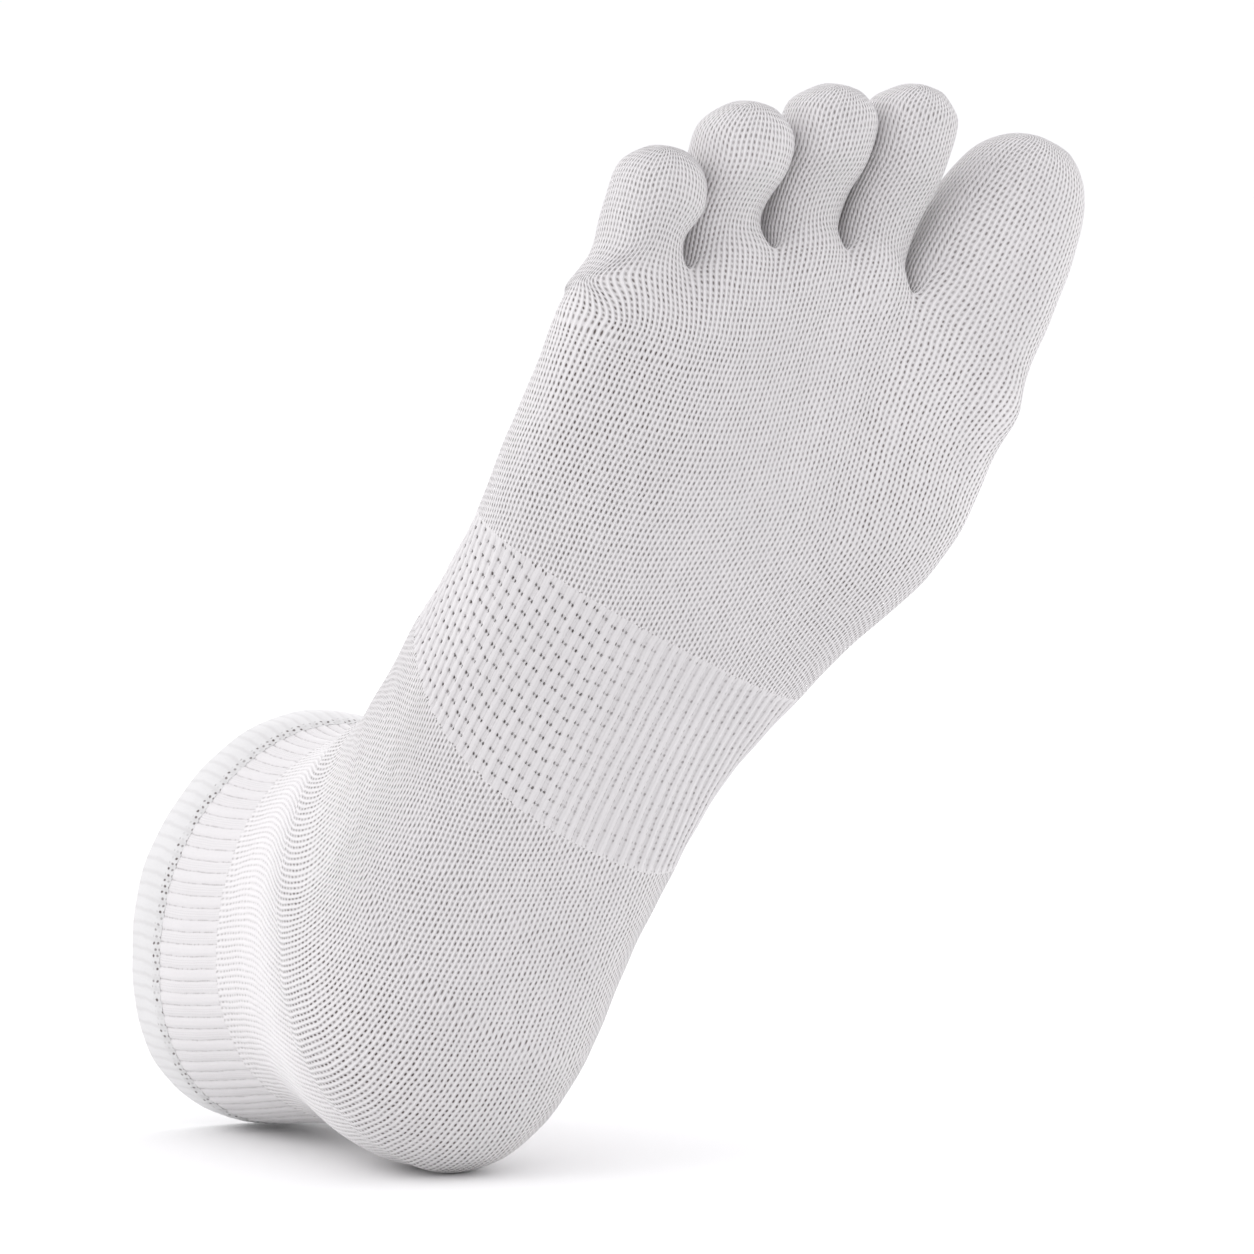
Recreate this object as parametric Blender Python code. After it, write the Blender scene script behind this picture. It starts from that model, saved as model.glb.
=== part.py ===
"""Ankle-height toe sock for a right foot, in the form it keeps when worn.

The sock stands on its heel and on the back of its cuff, sole upright and toes up.
It is modelled in a foot frame (x from heel to toes, y towards the big toe's side,
z from the sole up the leg) and then turned as a whole by the empty named sock.
The origin is the middle of the ankle opening and +Y points out of it.
Sizes are in metres.
"""

import math

import bpy
import numpy as np
from mathutils import Matrix, Vector

# Overall sizes
FOOT_LENGTH = 0.250
BALL_WIDTH = 0.108
HEEL_WIDTH = 0.068
CUFF_HEIGHT = 0.108
ROOT_HEIGHT = 0.028
TOE_WIDTH = 0.0203
BIG_TOE_WIDTH = 0.0298
TOE_HEIGHT = 0.0265
LEAN = math.radians(27.3)

# Cloth
KNIT_WALL = 0.0014
BAND_WALL = 0.0017
WELT_WALL = 0.0028
WELT_SWELL = 0.0004
RIB_PITCH = 0.0027
RIB_DEPTH = 0.0005
GORE_DEPTH = 0.0011
WEB_SAG = 0.0006
PIECE_GAP = 0.0003

# How finely the ring is divided: segments on each toe and up each side
TOE_SEGMENTS = {"little_toe": 4, "fourth_toe": 4, "third_toe": 4, "second_toe": 4, "big_toe": 6}
SIDE_SEGMENTS = 4
ROUND_STEPS = 3
FLATNESS = 0.0002

BODY_COLOUR = (0.80, 0.79, 0.83)
BAND_COLOUR = (0.79, 0.78, 0.82)
WELT_COLOUR = (0.81, 0.80, 0.84)

# Sections from the cuff round the heel to the ball. Each is a closed ring through a front
# (or top) point and a back (or sole) point.
# front_x, back_x: shares of FOOT_LENGTH; front_z, back_z: shares of CUFF_HEIGHT;
# lateral, medial: half widths as shares of HEEL_WIDTH (leg, heel) or BALL_WIDTH (band, ball);
# wide_at: how far down from the front point the ring is widest, as a share of its height;
# round_top, round_sole: 2 is an ellipse, more is squarer.
# strips: strips of faces up to the next section.
SECTION_COLUMNS = (
    "zone", "strips", "front_x", "front_z", "back_x", "back_z",
    "lateral", "medial", "wide_at", "round_top", "round_sole",
)
SECTION_ROWS = (
    ("welt", 1, 0.371, 1.000, 0.010, 1.000, 0.530, 0.556, 0.50, 2.0, 1.85),
    ("welt", 1, 0.369, 0.945, 0.010, 0.945, 0.533, 0.559, 0.50, 2.0, 1.85),
    ("rib", 1, 0.364, 0.890, 0.010, 0.890, 0.527, 0.545, 0.50, 2.0, 1.9),
    ("rib", 1, 0.360, 0.833, 0.016, 0.780, 0.520, 0.530, 0.50, 2.0, 1.95),
    ("leg", 2, 0.360, 0.787, 0.026, 0.640, 0.507, 0.500, 0.50, 2.0, 2.1),
    ("leg", 1, 0.364, 0.750, 0.026, 0.490, 0.507, 0.485, 0.48, 2.0, 2.2),
    ("heel", 1, 0.372, 0.731, 0.010, 0.350, 0.525, 0.470, 0.48, 2.0, 2.2),
    ("heel", 2, 0.384, 0.713, 0.003, 0.220, 0.551, 0.463, 0.54, 2.1, 2.3),
    ("heel", 2, 0.396, 0.694, 0.022, 0.100, 0.554, 0.456, 0.58, 2.1, 2.4),
    ("heel", 2, 0.412, 0.676, 0.068, 0.028, 0.551, 0.445, 0.60, 2.2, 2.5),
    ("instep", 1, 0.428, 0.657, 0.132, 0.000, 0.548, 0.438, 0.60, 2.3, 2.6),
    ("instep", 2, 0.448, 0.639, 0.208, 0.000, 0.536, 0.434, 0.60, 2.4, 2.6),
    ("band", 1, 0.478, 0.608, 0.300, 0.015, 0.337, 0.296, 0.58, 2.4, 2.5),
    ("band", 1, 0.500, 0.583, 0.362, 0.030, 0.336, 0.322, 0.57, 2.3, 2.4),
    ("band", 1, 0.526, 0.556, 0.424, 0.037, 0.346, 0.362, 0.58, 2.2, 2.3),
    ("fore", 1, 0.560, 0.519, 0.488, 0.037, 0.366, 0.408, 0.60, 2.0, 2.3),
    ("fore", 1, 0.600, 0.481, 0.556, 0.028, 0.389, 0.458, 0.60, 2.0, 2.3),
    ("fore", 1, 0.648, 0.435, 0.624, 0.009, 0.412, 0.523, 0.60, 2.0, 2.4),
    ("fore", 1, 0.696, 0.389, 0.688, 0.000, 0.436, 0.558, 0.58, 2.0, 2.5),
    ("fore", 0, 0.732, 0.350, 0.736, 0.006, 0.444, 0.560, 0.56, 2.1, 2.5),
)

# The line where the toes begin, from the little toe's side over four crotches to the big
# toe's side. sole_x, top_x: shares of FOOT_LENGTH; y: share of BALL_WIDTH.
ROOT_COLUMNS = ("sole_x", "top_x", "y")
ROOT_ROWS = (
    (0.736, 0.726, -0.438),
    (0.776, 0.766, -0.268),
    (0.828, 0.818, -0.112),
    (0.855, 0.843, 0.038),
    (0.850, 0.838, 0.212),
    (0.808, 0.798, 0.546),
)
# Heights of the root line as shares of ROOT_HEIGHT, and its corners as shares of BALL_WIDTH
CROTCH_SOLE = 0.29
CROTCH_TOP = 0.71
PAD_SOLE = 0.21
SIDE_MIDDLE = 0.53
CORNER_LIFT = 0.05
LATERAL_SIDE = -0.450
MEDIAL_SIDE = 0.560
ROOT_BULGE = 0.006
# At a crotch the wall's inner corner lies towards the heel, tilted off the sole or the top
SOLE_TILT = math.radians(36)
TOP_TILT = math.radians(45)
# The two rings behind the root line: how far along they lie, and how much of the root's form
# and of its dips they have
FRONT_STEPS = ((0.40, 0.00, 0.0), (0.76, 0.55, 0.3))

# Toe tips. x: share of FOOT_LENGTH; y: share of BALL_WIDTH; width: share of the toe's own
# width size; z: share of TOE_HEIGHT.
TOE_COLUMNS = ("name", "size", "x", "y", "width", "z")
TOE_ROWS = (
    ("little_toe", TOE_WIDTH, 0.863, -0.405, 0.95, 0.40),
    ("fourth_toe", TOE_WIDTH, 0.930, -0.268, 1.01, 0.40),
    ("third_toe", TOE_WIDTH, 0.980, -0.106, 0.95, 0.40),
    ("second_toe", TOE_WIDTH, 1.014, 0.064, 0.95, 0.40),
    ("big_toe", BIG_TOE_WIDTH, 1.026, 0.368, 0.99, 0.48),
)

# Rings along a toe. along: share of its length; width: share of its width;
# sole, top: shares of TOE_HEIGHT.
PROFILE_COLUMNS = ("along", "width", "sole", "top")
SMALL_TOE_PROFILE = (
    (0.13, 0.90, 0.30, 1.02),
    (0.29, 0.90, 0.30, 1.02),
    (0.45, 0.93, 0.21, 0.98),
    (0.60, 0.96, 0.10, 0.91),
)
LITTLE_TOE_PROFILE = (
    (0.20, 0.88, 0.15, 0.91),
    (0.38, 0.91, 0.11, 0.87),
    (0.55, 1.00, 0.06, 0.81),
)
BIG_TOE_PROFILE = (
    (0.13, 1.24, 0.18, 1.06),
    (0.30, 1.21, 0.13, 1.09),
    (0.48, 1.18, 0.08, 1.09),
    (0.64, 1.11, 0.06, 1.04),
)
PROFILES = {
    "little_toe": LITTLE_TOE_PROFILE,
    "fourth_toe": SMALL_TOE_PROFILE,
    "third_toe": SMALL_TOE_PROFILE,
    "second_toe": SMALL_TOE_PROFILE,
    "big_toe": BIG_TOE_PROFILE,
}
# Rings that round a toe's tip: distance from the tip as a share of the toe's half width
TIP_RINGS = (0.78, 0.40, 0.13)
TOE_ROUND = 2.3
# The rings of a toe stand square to it from this share of its length
SLANT_END = 0.75

SEGMENTS = list(TOE_SEGMENTS.values())
HALF_SIDE = SIDE_SEGMENTS // 2
SOLE_SEGMENTS = sum(SEGMENTS)
HALF_RING = SOLE_SEGMENTS + SIDE_SEGMENTS
RING = 2 * HALF_RING


def table(columns, rows):
    """Rows of a table as dictionaries by column name."""
    return [dict(zip(columns, row)) for row in rows]


def smooth(share):
    """Eased step from 0 to 1."""
    share = min(max(share, 0.0), 1.0)
    return share * share * (3 - 2 * share)


def spline(values, place):
    """Smooth curve through equally spaced values, read at a place counted in values."""
    values = np.asarray(values, float)
    slopes = np.gradient(values)
    left = min(max(int(place), 0), len(values) - 2)
    t = place - left
    return (
        (1 + 2 * t) * (1 - t) ** 2 * values[left]
        + t * (1 - t) ** 2 * slopes[left]
        + t * t * (3 - 2 * t) * values[left + 1]
        + t * t * (t - 1) * slopes[left + 1]
    )


def section_places():
    """Place in the section table and zone of every ring of the tube."""
    places = []
    zones = []
    for index, row in enumerate(table(SECTION_COLUMNS, SECTION_ROWS)):
        for step in range(row["strips"]):
            places.append(index + step / row["strips"])
            zones.append(row["zone"])
    places.append(len(SECTION_ROWS) - 1)
    zones.append("fore")
    return places, zones


def section_values(place):
    """The section table read at a place between its rows, in metres."""
    rows = table(SECTION_COLUMNS, SECTION_ROWS)
    scales = {"front_x": FOOT_LENGTH, "back_x": FOOT_LENGTH, "front_z": CUFF_HEIGHT, "back_z": CUFF_HEIGHT}
    heel_zones = ("welt", "rib", "leg", "heel", "instep")
    values = {}
    for name in SECTION_COLUMNS[2:]:
        column = []
        for row in rows:
            scale = scales.get(name, 1.0)
            if name in ("lateral", "medial"):
                scale = HEEL_WIDTH if row["zone"] in heel_zones else BALL_WIDTH
            column.append(row[name] * scale)
        values[name] = float(spline(column, place))
    return values


def root_widths():
    """Widths of the five toe roots."""
    sides = [row["y"] * BALL_WIDTH for row in table(ROOT_COLUMNS, ROOT_ROWS)]
    return np.diff(sides)


def half_shares(toe_blend):
    """Where the points of half a ring lie along it: even, or gathered as the toes need."""
    even = np.linspace(0, 1, HALF_RING + 1)
    lengths = [ROOT_HEIGHT / SIDE_SEGMENTS] * HALF_SIDE
    for width, count in zip(root_widths(), SEGMENTS):
        lengths += [width / count] * count
    lengths += [ROOT_HEIGHT / SIDE_SEGMENTS] * HALF_SIDE
    toes = np.concatenate([[0], np.cumsum(lengths)]) / sum(lengths)
    return even * (1 - toe_blend) + toes * toe_blend


def half_curve(values, height, power, shares):
    """Half of a ring from the lateral to the medial side: sideways and outward places."""
    turn = np.linspace(0, np.pi, 361)
    width = np.where(np.cos(turn) > 0, -values["lateral"], values["medial"])
    across = width * np.abs(np.cos(turn)) ** (2 / power)
    out = height * np.sin(turn) ** (2 / power)
    length = np.concatenate([[0], np.cumsum(np.hypot(np.diff(across), np.diff(out)))])
    length /= length[-1]
    return np.interp(shares, length, across), np.interp(shares, length, out)


def section_ring(place, sole_shares, top_shares):
    """One ring of the tube: lateral side, round the sole, medial side, round the top."""
    values = section_values(place)
    front = np.array([values["front_x"], values["front_z"]])
    back = np.array([values["back_x"], values["back_z"]])
    height = np.linalg.norm(back - front)
    down = (back - front) / height
    wide = height * values["wide_at"]
    sole_y, sole_out = half_curve(values, height - wide, values["round_sole"], sole_shares)
    top_y, top_out = half_curve(values, wide, values["round_top"], top_shares)
    across = np.concatenate([sole_y, top_y[::-1][1:-1]])
    depth = np.concatenate([wide + sole_out, (wide - top_out)[::-1][1:-1]])
    return np.stack([front[0] + down[0] * depth, across, front[1] + down[1] * depth], 1)


def tube_ring(place):
    """A ring with the same count as the toes, drawn towards their spacing near the roots."""
    x = section_values(place)["back_x"] / FOOT_LENGTH
    shares = half_shares(smooth((x - 0.56) / 0.18))
    return section_ring(place, shares, shares)


def toe_starts():
    """Index of each toe's first point on the sole half of the ring."""
    return [HALF_SIDE + sum(SEGMENTS[:index]) for index in range(len(SEGMENTS))]


def root_ring(dip):
    """The ring where the toes begin, with this share of the dips at the crotches."""
    ring = np.zeros((RING, 3))
    rows = table(ROOT_COLUMNS, ROOT_ROWS)
    levels = {"sole_x": (CROTCH_SOLE, PAD_SOLE), "top_x": (CROTCH_TOP, 1.0)}
    for column, (crotch, middle) in levels.items():
        for index, count in enumerate(SEGMENTS):
            for step in range(count + 1):
                share = step / count
                bulge = 1 - (2 * share - 1) ** 2
                ends = rows[index], rows[index + 1]
                x = ends[0][column] * (1 - share) + ends[1][column] * share + ROOT_BULGE * bulge
                y = ends[0]["y"] * (1 - share) + ends[1]["y"] * share
                z = middle + (crotch - middle) * (1 - bulge) * dip
                at = toe_starts()[index] + step
                if column == "top_x":
                    at = (RING - at) % RING
                ring[at] = (x * FOOT_LENGTH, y * BALL_WIDTH, z * ROOT_HEIGHT)
    for sole, middle, top, side in (
        (HALF_SIDE, 0, RING - HALF_SIDE, LATERAL_SIDE),
        (HALF_RING - HALF_SIDE, HALF_RING, HALF_RING + HALF_SIDE, MEDIAL_SIDE),
    ):
        ring[sole, 2] = (CROTCH_SOLE + CORNER_LIFT) * ROOT_HEIGHT
        ring[top, 2] = (CROTCH_TOP + CORNER_LIFT) * ROOT_HEIGHT
        ring[middle] = (ring[sole] + ring[top]) / 2
        ring[middle, 1:] = side * BALL_WIDTH, SIDE_MIDDLE * ROOT_HEIGHT
        for corner in (sole, top):
            step = -1 if corner > middle else 1
            if middle == 0:
                step = -1 if corner == sole else 1
            between = (corner + step) % RING
            ring[between] = (ring[corner] + ring[middle]) / 2
            ring[between, 1] += (ring[middle, 1] - ring[corner, 1]) / 4
    return ring


def toe_ring(centre, axis, width, sole, top, slant):
    """A ring of a toe: sole from lateral to medial, medial side, top, lateral side.

    The slant moves each point along the toe, so that the first rings follow the crotches.
    """
    count = (len(slant) - 2 * SIDE_SEGMENTS) // 2
    half = math.radians(45 if count == SIDE_SEGMENTS else 52)
    quarter = math.pi / 2
    turns = np.concatenate([
        np.linspace(-quarter - half, -quarter + half, count + 1)[:-1],
        np.linspace(-quarter + half, quarter - half, SIDE_SEGMENTS + 1)[:-1],
        np.linspace(quarter - half, quarter + half, count + 1)[:-1],
        np.linspace(quarter + half, 3 * quarter - half, SIDE_SEGMENTS + 1)[:-1],
    ])
    reach = (np.abs(np.cos(turns)) ** TOE_ROUND + np.abs(np.sin(turns)) ** TOE_ROUND) ** (-1 / TOE_ROUND)
    across = width / 2 * np.cos(turns) * reach
    up = (top + sole) / 2 + (top - sole) / 2 * np.sin(turns) * reach
    side = np.array([-axis[1], axis[0]])
    return np.column_stack([centre + across[:, None] * side + slant[:, None] * axis, up])


def toe_sections(name, length, width, tip_height):
    """Distance from the root, width, sole and top of each ring of a toe."""
    sections = []
    for row in table(PROFILE_COLUMNS, PROFILES[name]):
        sections.append((row["along"] * length, row["width"] * width, row["sole"], row["top"]))
    last_sole, last_top = sections[-1][2:]
    middle = (last_sole + last_top) / 2
    for share in TIP_RINGS:
        size = math.sqrt(1 - (1 - share) ** 2)
        centre = middle + (tip_height - middle) * (1 - share)
        half = (last_top - last_sole) / 2 * size
        sections.append((length - share * width / 2, width * size, centre - half, centre + half))
    return [(d, w, s * TOE_HEIGHT, t * TOE_HEIGHT) for d, w, s, t in sections]


def front_rings(last, before):
    """The last section bent to the slant of the root line in two steps, then the root line."""
    root = root_ring(1.0)
    rings = []
    for along, mixed, dip in FRONT_STEPS:
        ring = last * (1 - mixed) + root_ring(dip) * mixed
        ring[:, 0] = before[:, 0] * (1 - along) + root[:, 0] * along
        rings.append(ring)
    return rings + [root]


class Cage:
    """Points and four-sided faces of the sock's outer surface, each face with its zone."""

    def __init__(self):
        self.points = []
        self.faces = []
        self.zones = []

    def add_points(self, points):
        start = len(self.points)
        self.points.extend(np.array(point, float) for point in points)
        return list(range(start, len(self.points)))

    def add_face(self, corners, zone):
        self.faces.append(tuple(corners))
        self.zones.append(zone)

    def join_rings(self, first, second, zones):
        count = len(first)
        for index in range(count):
            after = (index + 1) % count
            corners = (first[index], first[after], second[after], second[index])
            self.add_face(corners, zones[index])


def zone_of(zone, index):
    """The piece that a face of the tube belongs to."""
    pocket = zone == "heel" and index < HALF_RING
    names = {"welt": "cuff_welt", "rib": "cuff_rib", "band": "arch_band", "fore": "forefoot"}
    return "heel_pocket" if pocket else names.get(zone, "ankle")


def gore_dip(ring, place, gore_place):
    """Draw the ring in along the heel's gore line, most at its two ends."""
    near = max(0.0, 1 - abs(place - gore_place))
    middle = ring[:HALF_RING + 1].mean(axis=0)
    for index in range(HALF_RING + 1):
        from_end = min(index, HALF_RING - index) / HALF_RING
        weight = near * max(0.0, 1 - 2.5 * from_end) * smooth(from_end / 0.08)
        inward = middle - ring[index]
        ring[index] += inward / np.linalg.norm(inward) * GORE_DEPTH * weight
    return ring


def add_tube(cage):
    """The tube from the rim to the toe roots. Gives the ids of its last ring."""
    places, zones = section_places()
    gore_place = 1 + [row[0] for row in SECTION_ROWS].index("heel")
    rings = [gore_dip(tube_ring(place), place, gore_place) for place in places]
    last = rings.pop()
    rings += front_rings(last, rings[-1])
    zones.append("fore")
    ids = [cage.add_points(ring) for ring in rings]
    for index, zone in enumerate(zones):
        names = [zone_of(zone, step) for step in range(RING)]
        cage.join_rings(ids[index], ids[index + 1], names)
    return ids[-1]


def add_webs(cage, root):
    """The short lines between neighbouring toes, from the sole's crotch to the top's."""
    webs = []
    for start in toe_starts()[1:]:
        sole = root[start]
        top = root[RING - start]
        line = [sole]
        for step in range(1, SIDE_SEGMENTS):
            share = step / SIDE_SEGMENTS
            point = cage.points[sole] * (1 - share) + cage.points[top] * share
            point[0] -= WEB_SAG * 4 * share * (1 - share)
            line += cage.add_points([point])
        webs.append(line + [top])
    return webs


def add_cap(cage, ring, count, tip, zone):
    """Close a toe with a patch of faces that bulges to the tip."""
    grid = {}
    for step in range(count + 1):
        grid[step, 0] = ring[step]
        grid[count - step, SIDE_SEGMENTS] = ring[count + SIDE_SEGMENTS + step]
    for step in range(SIDE_SEGMENTS):
        grid[count, step] = ring[count + step]
        grid[0, SIDE_SEGMENTS - step] = ring[(2 * count + SIDE_SEGMENTS + step) % len(ring)]
    centre = np.mean([cage.points[point] for point in ring], axis=0)
    for across in range(1, count):
        for up in range(1, SIDE_SEGMENTS):
            u = across / count
            v = up / SIDE_SEGMENTS
            level = cage.points[grid[0, up]] * (1 - u) + cage.points[grid[count, up]] * u
            upright = cage.points[grid[across, 0]] * (1 - v)
            upright = upright + cage.points[grid[across, SIDE_SEGMENTS]] * v
            reach = max(abs(2 * u - 1), abs(2 * v - 1))
            point = (level + upright) / 2 + (tip - centre) * (1 - reach ** 2)
            grid[across, up] = cage.add_points([point])[0]
    for across in range(count):
        for up in range(SIDE_SEGMENTS):
            corners = (grid[across, up], grid[across + 1, up], grid[across + 1, up + 1], grid[across, up + 1])
            cage.add_face(corners, zone)


def add_toes(cage, root, webs):
    """Five toe tubes from the root ring and the webs to their tips."""
    toes = table(TOE_COLUMNS, TOE_ROWS)
    lateral_side = [root[(step - HALF_SIDE) % RING] for step in range(SIDE_SEGMENTS + 1)]
    medial_side = [root[HALF_RING - HALF_SIDE + step] for step in range(SIDE_SEGMENTS + 1)]
    for index, toe in enumerate(toes):
        count = SEGMENTS[index]
        start = toe_starts()[index]
        sole = [root[start + step] for step in range(count + 1)]
        top = [root[(RING - start - count + step) % RING] for step in range(count + 1)]
        medial = webs[index] if index < len(webs) else medial_side
        lateral = webs[index - 1][::-1] if index else lateral_side
        ring = sole[:-1] + medial[:-1] + top[:-1] + lateral[:-1]
        base = np.mean([cage.points[point] for point in ring], axis=0)
        tip = np.array([toe["x"] * FOOT_LENGTH, toe["y"] * BALL_WIDTH, toe["z"] * TOE_HEIGHT])
        axis = tip[:2] - base[:2]
        length = np.linalg.norm(axis)
        axis /= length
        width = toe["width"] * toe["size"]
        slant = np.array([(cage.points[point][:2] - base[:2]) @ axis for point in ring])
        for distance, wide, low, high in toe_sections(toe["name"], length, width, toe["z"]):
            centre = base[:2] + axis * distance
            fade = 1 - smooth(distance / length / SLANT_END)
            points = toe_ring(centre, axis, wide, low, high, slant * fade)
            ids = cage.add_points(points)
            cage.join_rings(ring, ids, [toe["name"]] * len(ids))
            ring = ids
        add_cap(cage, ring, count, tip, toe["name"])


def set_web_normals(normals, webs):
    """At the webs the wall is drawn in towards the heel, with a mitre at both crotches."""
    for line in webs:
        normals[line[1:-1]] = (1.0, 0.0, 0.0)
        normals[line[0]] = np.array([1 / math.tan(SOLE_TILT), 0.0, -1.0])
        normals[line[-1]] = np.array([1 / math.tan(TOP_TILT), 0.0, 1.0])


def face_normals(points, faces):
    """Area-weighted normals of the faces."""
    corners = points[np.array(faces)]
    return np.cross(corners[:, 2] - corners[:, 0], corners[:, 3] - corners[:, 1]) / 2


def point_normals(points, faces):
    """Unit normal at every point, pointing out of the sock."""
    normals = np.zeros_like(points)
    for corner in range(4):
        np.add.at(normals, np.array(faces)[:, corner], face_normals(points, faces))
    lengths = np.linalg.norm(normals, axis=1)
    return normals / np.maximum(lengths, 1e-12)[:, None]


def open_edges(faces):
    """Edges used by one face only, in that face's direction."""
    edges = {}
    for face in faces:
        for first, second in zip(face, face[1:] + face[:1]):
            edges[first, second] = True
    return [edge for edge in edges if (edge[1], edge[0]) not in edges]


def drawn_back(points, faces, webs):
    """Points with the piece's open edges drawn back by half the gap to its neighbours."""
    moved = points.copy()
    centres = {}
    for face in faces:
        for edge in zip(face, face[1:] + face[:1]):
            centres[edge] = points[list(face)].mean(axis=0)
    inward = {}
    for edge in open_edges(faces):
        first, second = edge
        along = points[second] - points[first]
        along /= np.linalg.norm(along)
        to_face = centres[edge] - points[first]
        square = to_face - along * (to_face @ along)
        for point in edge:
            inward.setdefault(point, []).append(square / np.linalg.norm(square))
    used = sorted({point for face in faces for point in face})
    middle = points[used].mean(axis=0)
    for point, (one, other) in inward.items():
        moved[point] += (one + other) * PIECE_GAP / 2 / (1 + one @ other)
        if point in webs and len(used) < len(points) / 4:
            sideways = math.copysign(1.0, middle[1] - points[point][1])
            moved[point][1] += sideways * 0.75 * PIECE_GAP
    return moved


def split_twisted(points, faces):
    """Faces whose corners don't lie flat, split along the shorter diagonal."""
    result = []
    for face in faces:
        a, b, c, d = (points[point] for point in face)
        square = np.cross(c - a, d - b)
        if abs((b - a) @ square) / np.linalg.norm(square) < FLATNESS:
            result.append(face)
        elif np.linalg.norm(c - a) < np.linalg.norm(d - b):
            result += [(face[0], face[1], face[2]), (face[0], face[2], face[3])]
        else:
            result += [(face[1], face[2], face[3]), (face[1], face[3], face[0])]
    return result


def shell(points, normals, faces, wall, webs, rim):
    """A closed wall: the outer faces, the same faces drawn in by the wall, and the edges."""
    outer = drawn_back(points, faces, webs)
    used = sorted({point for face in faces for point in face})
    place = {point: index for index, point in enumerate(used)}
    count = len(used)
    inner = outer - normals * wall
    flat = split_twisted(outer, faces)
    coordinates = [outer[point] for point in used] + [inner[point] for point in used]
    result = [tuple(place[point] for point in face) for face in flat]
    result += [tuple(place[point] + count for point in reversed(face)) for face in flat]
    rounding = {}
    for first, second in open_edges(faces):
        on_rim = first in rim and second in rim
        ladders = []
        for point in (first, second):
            if on_rim and point not in rounding:
                rounding[point] = list(range(len(coordinates), len(coordinates) + ROUND_STEPS))
                coordinates += rim_round(outer[point], inner[point])
            between = rounding[point] if on_rim else []
            ladders.append([place[point], *between, place[point] + count])
        result += edge_faces(*ladders, first < second)
    return coordinates, result


def edge_faces(first, second, rising):
    """Triangles between two ladders of points, split alike on both sides of a seam."""
    faces = []
    for step in range(len(first) - 1):
        low, near, far, high = first[step], first[step + 1], second[step + 1], second[step]
        if rising:
            faces += [(near, far, low), (far, high, low)]
        else:
            faces += [(near, far, high), (near, high, low)]
    return faces


def rim_round(outer, inner):
    """Points of the half round where the hem folds over at the rim."""
    middle = (outer + inner) / 2
    half = (outer - inner) / 2
    upward = np.array([0.0, 0.0, np.linalg.norm(half)])
    turns = [math.pi * (step + 1) / (ROUND_STEPS + 1) for step in range(ROUND_STEPS)]
    return [middle + half * math.cos(turn) + upward * math.sin(turn) for turn in turns]


def rib_count():
    """How many ribs of the cuff fit round it."""
    shares = np.linspace(0, 1, 121)
    ring = section_ring([row[0] for row in SECTION_ROWS].index("rib"), shares, shares)
    length = np.linalg.norm(ring - np.roll(ring, 1, axis=0), axis=1).sum()
    return 2 * max(round(length / RIB_PITCH / 2), 4)


def rib_zone():
    """The ribbed part of the cuff: rings with a crest and a groove for each rib."""
    ribs = rib_count()
    shares = np.linspace(0, 1, ribs + 1)
    first = [row[0] for row in SECTION_ROWS].index("rib")
    places = [first + step for step in range(3)]
    rings = [section_ring(place, shares, shares) for place in places]
    count = len(rings[0])
    points = np.concatenate(rings)
    faces = []
    for ring in range(len(rings) - 1):
        for index in range(count):
            after = (index + 1) % count
            low = ring * count
            faces.append((low + index, low + after, low + count + after, low + count + index))
    normals = point_normals(points, faces)
    grooves = (np.arange(len(points)) % count) % 2 == 1
    carved = points - normals * (RIB_DEPTH * grooves)[:, None]
    outer = drawn_back(carved, faces, set())
    inner = drawn_back(points, faces, set()) - normals * (KNIT_WALL + RIB_DEPTH)
    coordinates = np.concatenate([outer, inner])
    total = len(points)
    result = list(faces) + [tuple(point + total for point in reversed(face)) for face in faces]
    for first_point, second_point in open_edges(faces):
        result.append((first_point + total, second_point + total, second_point, first_point))
    return coordinates, result


def material(name, colour):
    """Matt knitted cotton."""
    made = bpy.data.materials.new(name)
    made.use_nodes = True
    surface = made.node_tree.nodes["Principled BSDF"]
    surface.inputs["Base Color"].default_value = (*colour, 1.0)
    surface.inputs["Roughness"].default_value = 0.9
    surface.inputs["Metallic"].default_value = 0.0
    made.diffuse_color = (*colour, 1.0)
    return made


def add_piece(name, coordinates, faces, colour, parent):
    """One named piece of the sock."""
    mesh = bpy.data.meshes.new(name)
    mesh.from_pydata([tuple(point) for point in coordinates], [], faces)
    mesh.materials.append(material(name, colour))
    mesh.shade_smooth()
    mesh.set_sharp_from_angle(angle=math.radians(50))
    piece = bpy.data.objects.new(name, mesh)
    bpy.context.collection.objects.link(piece)
    piece.parent = parent
    return piece


def pose():
    """Turns the foot frame so that the leg points along +Y and the toes up, leaning to +X."""
    toes = Vector((math.sin(LEAN), 0.0, math.cos(LEAN)))
    medial = Vector((math.cos(LEAN), 0.0, -math.sin(LEAN)))
    leg = Vector((0.0, 1.0, 0.0))
    turn = Matrix((toes, medial, leg)).transposed()
    rim = section_values(0)
    middle_y = (rim["medial"] - rim["lateral"]) / 2
    middle_x = (rim["front_x"] + rim["back_x"]) / 2
    centre = Vector((middle_x, middle_y, CUFF_HEIGHT + WELT_WALL / 2))
    return Matrix.Translation(-(turn @ centre)) @ turn.to_4x4()


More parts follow.
